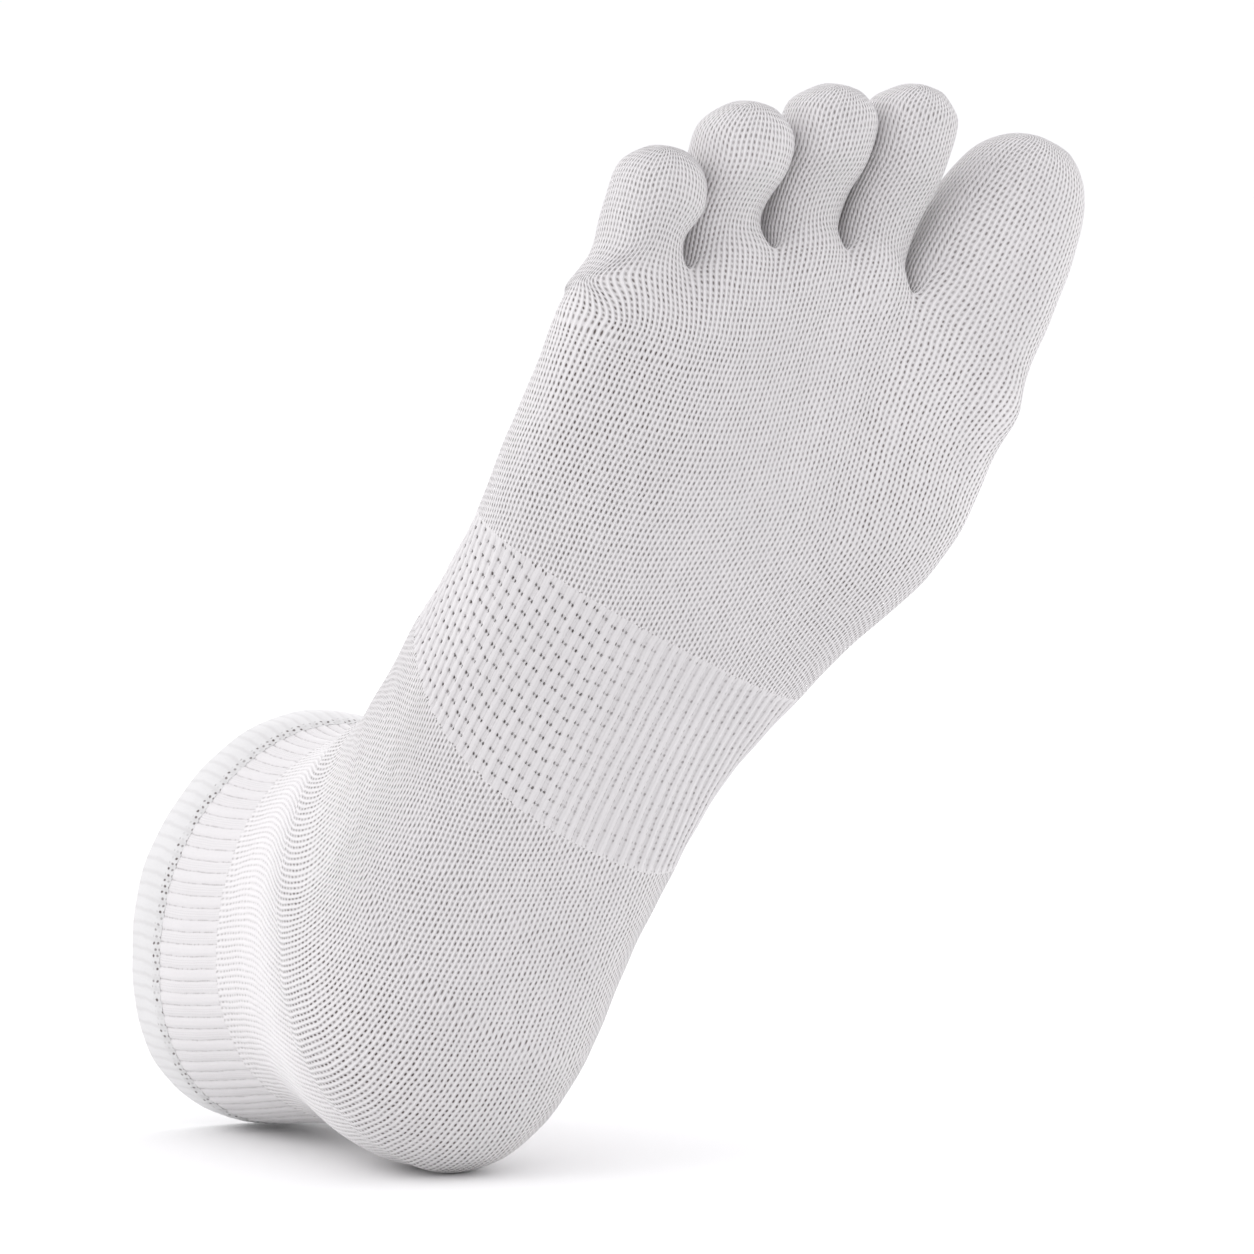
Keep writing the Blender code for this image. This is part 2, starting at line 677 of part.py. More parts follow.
def build():
    """The whole sock."""
    for thing in list(bpy.data.objects):
        bpy.data.objects.remove(thing, do_unlink=True)
    cage = Cage()
    root = add_tube(cage)
    webs = add_webs(cage, root)
    add_toes(cage, root, webs)
    points = np.array(cage.points)
    normals = point_normals(points, cage.faces)
    set_web_normals(normals, webs)
    welt_points = {p for face, zone in zip(cage.faces, cage.zones) if zone == "cuff_welt" for p in face}
    for point in welt_points:
        points[point] += normals[point] * WELT_SWELL
    rim = set(range(RING))
    web_points = {point for line in webs for point in line}
    sock = bpy.data.objects.new("sock", None)
    bpy.context.collection.objects.link(sock)
    sock.matrix_world = pose()
    walls = {"cuff_welt": WELT_WALL, "arch_band": BAND_WALL}
    colours = {"cuff_welt": WELT_COLOUR, "arch_band": BAND_COLOUR}
    names = ["cuff_welt", "ankle", "heel_pocket", "arch_band", "forefoot", *TOE_SEGMENTS]
    for name in names:
        faces = [face for face, zone in zip(cage.faces, cage.zones) if zone == name]
        wall = walls.get(name, KNIT_WALL)
        coordinates, result = shell(points, normals, faces, wall, web_points, rim)
        add_piece(name, coordinates, result, colours.get(name, BODY_COLOUR), sock)
    add_piece("cuff_rib", *rib_zone(), BODY_COLOUR, sock)


build()
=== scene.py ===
"""Looks of an ankle-height toe sock for a right foot, in the form it keeps when worn.

The cloth is built in a foot frame (x from heel to toes, y towards the big toe's side,
z from the sole up the leg) and turned into the row frame. Sizes are in metres.
"""

import math

import bpy
import numpy as np
from mathutils import Matrix, Vector


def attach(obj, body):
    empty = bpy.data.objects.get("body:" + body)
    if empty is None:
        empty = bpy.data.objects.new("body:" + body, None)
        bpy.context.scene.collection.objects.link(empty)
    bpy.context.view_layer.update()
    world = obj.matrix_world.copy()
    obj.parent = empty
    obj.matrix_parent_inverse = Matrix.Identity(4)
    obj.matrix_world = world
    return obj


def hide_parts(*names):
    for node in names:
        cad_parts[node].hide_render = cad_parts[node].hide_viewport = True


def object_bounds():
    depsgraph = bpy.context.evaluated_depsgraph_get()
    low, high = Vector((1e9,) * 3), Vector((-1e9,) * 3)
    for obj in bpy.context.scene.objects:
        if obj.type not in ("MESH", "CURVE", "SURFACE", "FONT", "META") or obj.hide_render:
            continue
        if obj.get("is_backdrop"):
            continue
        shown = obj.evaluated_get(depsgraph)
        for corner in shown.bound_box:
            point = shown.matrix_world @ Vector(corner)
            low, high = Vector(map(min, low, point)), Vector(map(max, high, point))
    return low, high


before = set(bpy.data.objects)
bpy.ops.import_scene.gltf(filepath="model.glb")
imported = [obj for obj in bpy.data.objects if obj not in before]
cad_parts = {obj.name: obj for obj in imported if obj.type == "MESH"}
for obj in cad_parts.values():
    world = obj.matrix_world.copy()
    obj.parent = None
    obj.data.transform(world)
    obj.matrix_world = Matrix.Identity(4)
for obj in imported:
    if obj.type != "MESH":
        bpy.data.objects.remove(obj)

# Overall sizes
FOOT_LENGTH = 0.250
BALL_WIDTH = 0.108
HEEL_WIDTH = 0.068
CUFF_HEIGHT = 0.108
ROOT_HEIGHT = 0.028
TOE_WIDTH = 0.0203
BIG_TOE_WIDTH = 0.0298
TOE_HEIGHT = 0.0265
LEAN = math.radians(27.3)

# Cloth
KNIT_WALL = 0.0014
BAND_WALL = 0.0017
WELT_WALL = 0.0028
WELT_SWELL = 0.0004
RIB_PITCH = 0.0027
RIB_DEPTH = 0.0005
GORE_DEPTH = 0.0011
WEB_SAG = 0.0006

# How finely the ring is divided: segments on each toe and up each side
TOE_SEGMENTS = {"little_toe": 4, "fourth_toe": 4, "third_toe": 4, "second_toe": 4, "big_toe": 6}
SIDE_SEGMENTS = 4


# Looks
BODY_COLOUR = (0.715, 0.697, 0.702)
BAND_COLOUR = (0.650, 0.634, 0.640)
WELT_COLOUR = (0.620, 0.616, 0.618)
# Painted shade: the dark colour put into stitch holes, rib grooves and stitch gaps, where the cloth's hollows would lie
# in shadow
HOLE_SHADE_COLOUR = (0.085, 0.066, 0.062)
COURSE = 0.0013
WALES = 4
CUFF_RIBS = 94
BAND_RIBS = 78
BAND_PITCH = 0.0028
MESH_PITCH = 0.00315
HOLE_PLACE = 0.165
MESH_END = 13
FOOT_START = 200.0
FINE = 8
LEVELS = 3
WORLD_LIGHT = 1.14
# name, way to the lamp (right, up, back), distance, size, energy, colour
LIGHTS = (
    ("key", (-0.95, 0.75, 0.55), 1.6, 1.1, 4.0, (1.0, 0.99, 0.985)),
    ("left_rim", (-0.90, 0.30, -0.55), 1.5, 1.2, 5.0, (1.0, 0.99, 0.99)),
    ("right_rim", (0.90, 0.45, -0.50), 1.5, 1.2, 7.0, (1.0, 0.99, 0.99)),
)

# Sections from the cuff round the heel to the ball. Each is a closed ring through a front
# (or top) point and a back (or sole) point.
# front_x, back_x: shares of FOOT_LENGTH; front_z, back_z: shares of CUFF_HEIGHT;
# lateral, medial: half widths as shares of HEEL_WIDTH (leg, heel) or BALL_WIDTH (band, ball);
# wide_at: how far down from the front point the ring is widest, as a share of its height;
# round_top, round_sole: 2 is an ellipse, more is squarer.
# strips: strips of faces up to the next section.
SECTION_COLUMNS = (
    "zone", "strips", "front_x", "front_z", "back_x", "back_z",
    "lateral", "medial", "wide_at", "round_top", "round_sole",
)
SECTION_ROWS = (
    ("welt", 1, 0.371, 1.000, 0.010, 1.000, 0.530, 0.556, 0.50, 2.0, 1.85),
    ("welt", 1, 0.369, 0.945, 0.010, 0.945, 0.533, 0.559, 0.50, 2.0, 1.85),
    ("rib", 1, 0.364, 0.890, 0.010, 0.890, 0.527, 0.545, 0.50, 2.0, 1.9),
    ("rib", 1, 0.360, 0.833, 0.016, 0.780, 0.520, 0.530, 0.50, 2.0, 1.95),
    ("leg", 2, 0.360, 0.787, 0.026, 0.640, 0.507, 0.500, 0.50, 2.0, 2.1),
    ("leg", 1, 0.364, 0.750, 0.026, 0.490, 0.507, 0.485, 0.48, 2.0, 2.2),
    ("heel", 1, 0.372, 0.731, 0.010, 0.350, 0.525, 0.470, 0.48, 2.0, 2.2),
    ("heel", 2, 0.384, 0.713, 0.003, 0.220, 0.551, 0.463, 0.54, 2.1, 2.3),
    ("heel", 2, 0.396, 0.694, 0.022, 0.100, 0.554, 0.456, 0.58, 2.1, 2.4),
    ("heel", 2, 0.412, 0.676, 0.068, 0.028, 0.551, 0.445, 0.60, 2.2, 2.5),
    ("instep", 1, 0.428, 0.657, 0.132, 0.000, 0.548, 0.438, 0.60, 2.3, 2.6),
    ("instep", 2, 0.448, 0.639, 0.208, 0.000, 0.536, 0.434, 0.60, 2.4, 2.6),
    ("band", 1, 0.478, 0.608, 0.300, 0.015, 0.337, 0.296, 0.58, 2.4, 2.5),
    ("band", 1, 0.500, 0.583, 0.362, 0.030, 0.336, 0.322, 0.57, 2.3, 2.4),
    ("band", 1, 0.526, 0.556, 0.424, 0.037, 0.346, 0.362, 0.58, 2.2, 2.3),
    ("fore", 1, 0.560, 0.519, 0.488, 0.037, 0.366, 0.408, 0.60, 2.0, 2.3),
    ("fore", 1, 0.600, 0.481, 0.556, 0.028, 0.389, 0.458, 0.60, 2.0, 2.3),
    ("fore", 1, 0.648, 0.435, 0.624, 0.009, 0.412, 0.523, 0.60, 2.0, 2.4),
    ("fore", 1, 0.696, 0.389, 0.688, 0.000, 0.436, 0.558, 0.58, 2.0, 2.5),
    ("fore", 0, 0.732, 0.350, 0.736, 0.006, 0.444, 0.560, 0.56, 2.1, 2.5),
)

# The line where the toes begin, from the little toe's side over four crotches to the big
# toe's side. sole_x, top_x: shares of FOOT_LENGTH; y: share of BALL_WIDTH.
ROOT_COLUMNS = ("sole_x", "top_x", "y")
ROOT_ROWS = (
    (0.736, 0.726, -0.438),
    (0.776, 0.766, -0.268),
    (0.828, 0.818, -0.112),
    (0.855, 0.843, 0.038),
    (0.850, 0.838, 0.212),
    (0.808, 0.798, 0.546),
)
# Heights of the root line as shares of ROOT_HEIGHT, and its corners as shares of BALL_WIDTH
CROTCH_SOLE = 0.29
CROTCH_TOP = 0.71
PAD_SOLE = 0.21
SIDE_MIDDLE = 0.53
CORNER_LIFT = 0.05
LATERAL_SIDE = -0.450
MEDIAL_SIDE = 0.560
ROOT_BULGE = 0.006
# At a crotch the wall's inner corner lies towards the heel, tilted off the sole or the top
SOLE_TILT = math.radians(36)
TOP_TILT = math.radians(45)
# The two rings behind the root line: how far along they lie, and how much of the root's form
# and of its dips they have
FRONT_STEPS = ((0.40, 0.00, 0.0), (0.76, 0.55, 0.3))

# Toe tips. x: share of FOOT_LENGTH; y: share of BALL_WIDTH; width: share of the toe's own
# width size; z: share of TOE_HEIGHT.
TOE_COLUMNS = ("name", "size", "x", "y", "width", "z")
TOE_ROWS = (
    ("little_toe", TOE_WIDTH, 0.863, -0.405, 0.95, 0.40),
    ("fourth_toe", TOE_WIDTH, 0.930, -0.268, 1.01, 0.40),
    ("third_toe", TOE_WIDTH, 0.980, -0.106, 0.95, 0.40),
    ("second_toe", TOE_WIDTH, 1.014, 0.064, 0.95, 0.40),
    ("big_toe", BIG_TOE_WIDTH, 1.026, 0.368, 0.99, 0.48),
)

# Rings along a toe. along: share of its length; width: share of its width;
# sole, top: shares of TOE_HEIGHT.
PROFILE_COLUMNS = ("along", "width", "sole", "top")
SMALL_TOE_PROFILE = (
    (0.13, 0.90, 0.30, 1.02),
    (0.29, 0.90, 0.30, 1.02),
    (0.45, 0.93, 0.21, 0.98),
    (0.60, 0.96, 0.10, 0.91),
)
LITTLE_TOE_PROFILE = (
    (0.20, 0.88, 0.15, 0.91),
    (0.38, 0.91, 0.11, 0.87),
    (0.55, 1.00, 0.06, 0.81),
)
BIG_TOE_PROFILE = (
    (0.13, 1.24, 0.18, 1.06),
    (0.30, 1.21, 0.13, 1.09),
    (0.48, 1.18, 0.08, 1.09),
    (0.64, 1.11, 0.06, 1.04),
)
PROFILES = {
    "little_toe": LITTLE_TOE_PROFILE,
    "fourth_toe": SMALL_TOE_PROFILE,
    "third_toe": SMALL_TOE_PROFILE,
    "second_toe": SMALL_TOE_PROFILE,
    "big_toe": BIG_TOE_PROFILE,
}
# Rings that round a toe's tip: distance from the tip as a share of the toe's half width
TIP_RINGS = (0.78, 0.40, 0.13)
TOE_ROUND = 2.3
# The rings of a toe stand square to it from this share of its length
SLANT_END = 0.75

SEGMENTS = list(TOE_SEGMENTS.values())
HALF_SIDE = SIDE_SEGMENTS // 2
SOLE_SEGMENTS = sum(SEGMENTS)
HALF_RING = SOLE_SEGMENTS + SIDE_SEGMENTS
RING = 2 * HALF_RING


def table(columns, rows):
    """Rows of a table as dictionaries by column name."""
    return [dict(zip(columns, row)) for row in rows]


def smooth(share):
    """Eased step from 0 to 1."""
    share = min(max(share, 0.0), 1.0)
    return share * share * (3 - 2 * share)


def spline(values, place):
    """Smooth curve through equally spaced values, read at a place counted in values."""
    values = np.asarray(values, float)
    slopes = np.gradient(values)
    left = min(max(int(place), 0), len(values) - 2)
    t = place - left
    return (
        (1 + 2 * t) * (1 - t) ** 2 * values[left]
        + t * (1 - t) ** 2 * slopes[left]
        + t * t * (3 - 2 * t) * values[left + 1]
        + t * t * (t - 1) * slopes[left + 1]
    )


def section_places():
    """Place in the section table and zone of every ring of the tube."""
    places = []
    zones = []
    for index, row in enumerate(table(SECTION_COLUMNS, SECTION_ROWS)):
        for step in range(row["strips"]):
            places.append(index + step / row["strips"])
            zones.append(row["zone"])
    places.append(len(SECTION_ROWS) - 1)
    zones.append("fore")
    return places, zones


def section_values(place):
    """The section table read at a place between its rows, in metres."""
    rows = table(SECTION_COLUMNS, SECTION_ROWS)
    scales = {"front_x": FOOT_LENGTH, "back_x": FOOT_LENGTH, "front_z": CUFF_HEIGHT, "back_z": CUFF_HEIGHT}
    heel_zones = ("welt", "rib", "leg", "heel", "instep")
    values = {}
    for name in SECTION_COLUMNS[2:]:
        column = []
        for row in rows:
            scale = scales.get(name, 1.0)
            if name in ("lateral", "medial"):
                scale = HEEL_WIDTH if row["zone"] in heel_zones else BALL_WIDTH
            column.append(row[name] * scale)
        values[name] = float(spline(column, place))
    return values


def root_widths():
    """Widths of the five toe roots."""
    sides = [row["y"] * BALL_WIDTH for row in table(ROOT_COLUMNS, ROOT_ROWS)]
    return np.diff(sides)


def half_shares(toe_blend):
    """Where the points of half a ring lie along it: even, or gathered as the toes need."""
    even = np.linspace(0, 1, HALF_RING + 1)
    lengths = [ROOT_HEIGHT / SIDE_SEGMENTS] * HALF_SIDE
    for width, count in zip(root_widths(), SEGMENTS):
        lengths += [width / count] * count
    lengths += [ROOT_HEIGHT / SIDE_SEGMENTS] * HALF_SIDE
    toes = np.concatenate([[0], np.cumsum(lengths)]) / sum(lengths)
    return even * (1 - toe_blend) + toes * toe_blend


def half_curve(values, height, power, shares):
    """Half of a ring from the lateral to the medial side: sideways and outward places."""
    turn = np.linspace(0, np.pi, 361)
    width = np.where(np.cos(turn) > 0, -values["lateral"], values["medial"])
    across = width * np.abs(np.cos(turn)) ** (2 / power)
    out = height * np.sin(turn) ** (2 / power)
    length = np.concatenate([[0], np.cumsum(np.hypot(np.diff(across), np.diff(out)))])
    length /= length[-1]
    return np.interp(shares, length, across), np.interp(shares, length, out)


def section_ring(place, sole_shares, top_shares):
    """One ring of the tube: lateral side, round the sole, medial side, round the top."""
    values = section_values(place)
    front = np.array([values["front_x"], values["front_z"]])
    back = np.array([values["back_x"], values["back_z"]])
    height = np.linalg.norm(back - front)
    down = (back - front) / height
    wide = height * values["wide_at"]
    sole_y, sole_out = half_curve(values, height - wide, values["round_sole"], sole_shares)
    top_y, top_out = half_curve(values, wide, values["round_top"], top_shares)
    across = np.concatenate([sole_y, top_y[::-1][1:-1]])
    depth = np.concatenate([wide + sole_out, (wide - top_out)[::-1][1:-1]])
    return np.stack([front[0] + down[0] * depth, across, front[1] + down[1] * depth], 1)


def tube_ring(place):
    """A ring with the same count as the toes, drawn towards their spacing near the roots."""
    x = section_values(place)["back_x"] / FOOT_LENGTH
    shares = half_shares(smooth((x - 0.56) / 0.18))
    return section_ring(place, shares, shares)


def toe_starts():
    """Index of each toe's first point on the sole half of the ring."""
    return [HALF_SIDE + sum(SEGMENTS[:index]) for index in range(len(SEGMENTS))]


def root_ring(dip):
    """The ring where the toes begin, with this share of the dips at the crotches."""
    ring = np.zeros((RING, 3))
    rows = table(ROOT_COLUMNS, ROOT_ROWS)
    levels = {"sole_x": (CROTCH_SOLE, PAD_SOLE), "top_x": (CROTCH_TOP, 1.0)}
    for column, (crotch, middle) in levels.items():
        for index, count in enumerate(SEGMENTS):
            for step in range(count + 1):
                share = step / count
                bulge = 1 - (2 * share - 1) ** 2
                ends = rows[index], rows[index + 1]
                x = ends[0][column] * (1 - share) + ends[1][column] * share + ROOT_BULGE * bulge
                y = ends[0]["y"] * (1 - share) + ends[1]["y"] * share
                z = middle + (crotch - middle) * (1 - bulge) * dip
                at = toe_starts()[index] + step
                if column == "top_x":
                    at = (RING - at) % RING
                ring[at] = (x * FOOT_LENGTH, y * BALL_WIDTH, z * ROOT_HEIGHT)
    for sole, middle, top, side in (
        (HALF_SIDE, 0, RING - HALF_SIDE, LATERAL_SIDE),
        (HALF_RING - HALF_SIDE, HALF_RING, HALF_RING + HALF_SIDE, MEDIAL_SIDE),
    ):
        ring[sole, 2] = (CROTCH_SOLE + CORNER_LIFT) * ROOT_HEIGHT
        ring[top, 2] = (CROTCH_TOP + CORNER_LIFT) * ROOT_HEIGHT
        ring[middle] = (ring[sole] + ring[top]) / 2
        ring[middle, 1:] = side * BALL_WIDTH, SIDE_MIDDLE * ROOT_HEIGHT
        for corner in (sole, top):
            step = -1 if corner > middle else 1
            if middle == 0:
                step = -1 if corner == sole else 1
            between = (corner + step) % RING
            ring[between] = (ring[corner] + ring[middle]) / 2
            ring[between, 1] += (ring[middle, 1] - ring[corner, 1]) / 4
    return ring


def toe_ring(centre, axis, width, sole, top, slant):
    """A ring of a toe: sole from lateral to medial, medial side, top, lateral side.

    The slant moves each point along the toe, so that the first rings follow the crotches.
    """
    count = (len(slant) - 2 * SIDE_SEGMENTS) // 2
    half = math.radians(45 if count == SIDE_SEGMENTS else 52)
    quarter = math.pi / 2
    turns = np.concatenate([
        np.linspace(-quarter - half, -quarter + half, count + 1)[:-1],
        np.linspace(-quarter + half, quarter - half, SIDE_SEGMENTS + 1)[:-1],
        np.linspace(quarter - half, quarter + half, count + 1)[:-1],
        np.linspace(quarter + half, 3 * quarter - half, SIDE_SEGMENTS + 1)[:-1],
    ])
    reach = (np.abs(np.cos(turns)) ** TOE_ROUND + np.abs(np.sin(turns)) ** TOE_ROUND) ** (-1 / TOE_ROUND)
    across = width / 2 * np.cos(turns) * reach
    up = (top + sole) / 2 + (top - sole) / 2 * np.sin(turns) * reach
    side = np.array([-axis[1], axis[0]])
    return np.column_stack([centre + across[:, None] * side + slant[:, None] * axis, up])


def toe_sections(name, length, width, tip_height):
    """Distance from the root, width, sole and top of each ring of a toe."""
    sections = []
    for row in table(PROFILE_COLUMNS, PROFILES[name]):
        sections.append((row["along"] * length, row["width"] * width, row["sole"], row["top"]))
    last_sole, last_top = sections[-1][2:]
    middle = (last_sole + last_top) / 2
    for share in TIP_RINGS:
        size = math.sqrt(1 - (1 - share) ** 2)
        centre = middle + (tip_height - middle) * (1 - share)
        half = (last_top - last_sole) / 2 * size
        sections.append((length - share * width / 2, width * size, centre - half, centre + half))
    return [(d, w, s * TOE_HEIGHT, t * TOE_HEIGHT) for d, w, s, t in sections]


def front_rings(last, before):
    """The last section bent to the slant of the root line in two steps, then the root line."""
    root = root_ring(1.0)
    rings = []
    for along, mixed, dip in FRONT_STEPS:
        ring = last * (1 - mixed) + root_ring(dip) * mixed
        ring[:, 0] = before[:, 0] * (1 - along) + root[:, 0] * along
        rings.append(ring)
    return rings + [root]


class Cage:
    """Points and four-sided faces of the sock's outer surface.

    Each face has its zone, the chart of knit that it lies in and its corners' places there.
    """

    def __init__(self):
        self.points = []
        self.faces = []
        self.zones = []
        self.charts = []
        self.coords = []
        self.toe_rings = {}

    def add_points(self, points):
        start = len(self.points)
        self.points.extend(np.array(point, float) for point in points)
        return list(range(start, len(self.points)))

    def add_face(self, corners, zone, chart, across, down):
        self.faces.append(tuple(corners))
        self.zones.append(zone)
        self.charts.append(chart)
        self.coords.append(((across, down), (across + 1, down), (across + 1, down + 1), (across, down + 1)))

    def join_rings(self, first, second, zones, chart, down):
        count = len(first)
        for index in range(count):
            after = (index + 1) % count
            corners = (first[index], first[after], second[after], second[index])
            self.add_face(corners, zones[index], chart, index, down)


def zone_of(zone, index):
    """The piece that a face of the tube belongs to."""
    pocket = zone == "heel" and index < HALF_RING
    names = {"welt": "cuff_welt", "rib": "cuff_rib", "band": "arch_band", "fore": "forefoot"}
    return "heel_pocket" if pocket else names.get(zone, "ankle")


def gore_dip(ring, place, gore_place):
    """Draw the ring in along the heel's gore line, most at its two ends."""
    near = max(0.0, 1 - abs(place - gore_place))
    middle = ring[:HALF_RING + 1].mean(axis=0)
    for index in range(HALF_RING + 1):
        from_end = min(index, HALF_RING - index) / HALF_RING
        weight = near * max(0.0, 1 - 2.5 * from_end) * smooth(from_end / 0.08)
        inward = middle - ring[index]
        ring[index] += inward / np.linalg.norm(inward) * GORE_DEPTH * weight
    return ring


def add_tube(cage):
    """The tube from the rim to the toe roots. Gives the ids of its last ring."""
    places, zones = section_places()
    gore_place = 1 + [row[0] for row in SECTION_ROWS].index("heel")
    rings = [gore_dip(tube_ring(place), place, gore_place) for place in places]
    last = rings.pop()
    rings += front_rings(last, rings[-1])
    zones.append("fore")
    ids = [cage.add_points(ring) for ring in rings]
    for index, zone in enumerate(zones):
        names = [zone_of(zone, step) for step in range(RING)]
        cage.join_rings(ids[index], ids[index + 1], names, "tube", index)
    return ids


def add_webs(cage, root):
    """The short lines between neighbouring toes, from the sole's crotch to the top's."""
    webs = []
    for start in toe_starts()[1:]:
        sole = root[start]
        top = root[RING - start]
        line = [sole]
        for step in range(1, SIDE_SEGMENTS):
            share = step / SIDE_SEGMENTS
            point = cage.points[sole] * (1 - share) + cage.points[top] * share
            point[0] -= WEB_SAG * 4 * share * (1 - share)
            line += cage.add_points([point])
        webs.append(line + [top])
    return webs


def add_cap(cage, ring, count, tip, zone):
    """Close a toe with a patch of faces that bulges to the tip."""
    grid = {}
    for step in range(count + 1):
        grid[step, 0] = ring[step]
        grid[count - step, SIDE_SEGMENTS] = ring[count + SIDE_SEGMENTS + step]
    for step in range(SIDE_SEGMENTS):
        grid[count, step] = ring[count + step]
        grid[0, SIDE_SEGMENTS - step] = ring[(2 * count + SIDE_SEGMENTS + step) % len(ring)]
    centre = np.mean([cage.points[point] for point in ring], axis=0)
    for across in range(1, count):
        for up in range(1, SIDE_SEGMENTS):
            u = across / count
            v = up / SIDE_SEGMENTS
            level = cage.points[grid[0, up]] * (1 - u) + cage.points[grid[count, up]] * u
            upright = cage.points[grid[across, 0]] * (1 - v)
            upright = upright + cage.points[grid[across, SIDE_SEGMENTS]] * v
            reach = max(abs(2 * u - 1), abs(2 * v - 1))
            point = (level + upright) / 2 + (tip - centre) * (1 - reach ** 2)
            grid[across, up] = cage.add_points([point])[0]
    for across in range(count):
        for up in range(SIDE_SEGMENTS):
            corners = (grid[across, up], grid[across + 1, up], grid[across + 1, up + 1], grid[across, up + 1])
            cage.add_face(corners, zone, zone + "_tip", across, up)


def add_toes(cage, root, webs):
    """Five toe tubes from the root ring and the webs to their tips."""
    toes = table(TOE_COLUMNS, TOE_ROWS)
    lateral_side = [root[(step - HALF_SIDE) % RING] for step in range(SIDE_SEGMENTS + 1)]
    medial_side = [root[HALF_RING - HALF_SIDE + step] for step in range(SIDE_SEGMENTS + 1)]
    for index, toe in enumerate(toes):
        count = SEGMENTS[index]
        start = toe_starts()[index]
        sole = [root[start + step] for step in range(count + 1)]
        top = [root[(RING - start - count + step) % RING] for step in range(count + 1)]
        medial = webs[index] if index < len(webs) else medial_side
        lateral = webs[index - 1][::-1] if index else lateral_side
        ring = sole[:-1] + medial[:-1] + top[:-1] + lateral[:-1]
        base = np.mean([cage.points[point] for point in ring], axis=0)
        tip = np.array([toe["x"] * FOOT_LENGTH, toe["y"] * BALL_WIDTH, toe["z"] * TOE_HEIGHT])
        axis = tip[:2] - base[:2]
        length = np.linalg.norm(axis)
        axis /= length
        width = toe["width"] * toe["size"]
        slant = np.array([(cage.points[point][:2] - base[:2]) @ axis for point in ring])
        rings = [ring]
        for distance, wide, low, high in toe_sections(toe["name"], length, width, toe["z"]):
            centre = base[:2] + axis * distance
            fade = 1 - smooth(distance / length / SLANT_END)
            points = toe_ring(centre, axis, wide, low, high, slant * fade)
            ids = cage.add_points(points)
            cage.join_rings(ring, ids, [toe["name"]] * len(ids), toe["name"], len(rings) - 1)
            ring = ids
            rings.append(ids)
        cage.toe_rings[toe["name"]] = rings
        add_cap(cage, ring, count, tip, toe["name"])


def face_normals(points, faces):
    """Area-weighted normals of the faces."""
    corners = points[np.array(faces)]
    return np.cross(corners[:, 2] - corners[:, 0], corners[:, 3] - corners[:, 1]) / 2


def point_normals(points, faces):
    """Unit normal at every point, pointing out of the sock."""
    square = face_normals(points, faces)
    used = np.asarray(faces).ravel()
    normals = np.stack([np.bincount(used, np.repeat(square[:, axis], 4), len(points)) for axis in range(3)], 1)
    lengths = np.linalg.norm(normals, axis=1)
    return normals / np.maximum(lengths, 1e-12)[:, None]


def pose():
    """Turns the foot frame so that the leg points along +Y and the toes up, leaning to +X."""
    toes = (math.sin(LEAN), 0.0, math.cos(LEAN))
    medial = (math.cos(LEAN), 0.0, -math.sin(LEAN))
    turn = np.array([toes, medial, (0.0, 1.0, 0.0)]).T
    rim = section_values(0)
    middle_y = (rim["medial"] - rim["lateral"]) / 2
    middle_x = (rim["front_x"] + rim["back_x"]) / 2
    centre = np.array([middle_x, middle_y, CUFF_HEIGHT + WELT_WALL / 2])
    return turn, -turn @ centre


TURN, SHIFT = pose()
STRIP_ZONES = section_places()[1]
RIB_RING = STRIP_ZONES.index("rib")
RIB_END = STRIP_ZONES.index("leg")
HEEL_RING = STRIP_ZONES.index("heel")
GORE_RING = HEEL_RING + 1
INSTEP_RING = STRIP_ZONES.index("instep")
BAND_RING = STRIP_ZONES.index("band")
FORE_RING = STRIP_ZONES.index("fore")


def limit_points(points, faces):
    """Where the points of a mesh of four-sided faces end up on its smooth surface."""
    faces = np.asarray(faces)
    count = len(points)
    around = np.bincount(faces.ravel(), minlength=count)
    beside = np.zeros((count, 3))
    across = np.zeros((count, 3))
    for axis in range(3):
        values = points[:, axis][faces]
        near = (np.roll(values, 1, 1) + np.roll(values, -1, 1)) / 2
        beside[:, axis] = np.bincount(faces.ravel(), near.ravel(), count)
        across[:, axis] = np.bincount(faces.ravel(), np.roll(values, 2, 1).ravel(), count)
    n = around[:, None].astype(float)
    placed = (n * n * points + 4 * beside + across) / np.maximum(n * (n + 5), 1)
    rim = border(faces)
    ends = np.concatenate([rim, rim[:, ::-1]])
    summed = np.zeros((count, 3))
    for axis in range(3):
        summed[:, axis] = np.bincount(ends[:, 0], points[ends[:, 1], axis], count)
    on_rim = np.unique(rim)
    placed[on_rim] = (4 * points[on_rim] + summed[on_rim]) / 6
    return placed


def border(faces):
    """Edges used by one face only, in that face's direction."""
    first = faces.ravel()
    second = np.roll(faces, -1, 1).ravel()
    size = int(faces.max()) + 1
    keys = first * size + second
    alone = ~np.isin(second * size + first, keys)
    return np.stack([first[alone], second[alone]], 1)


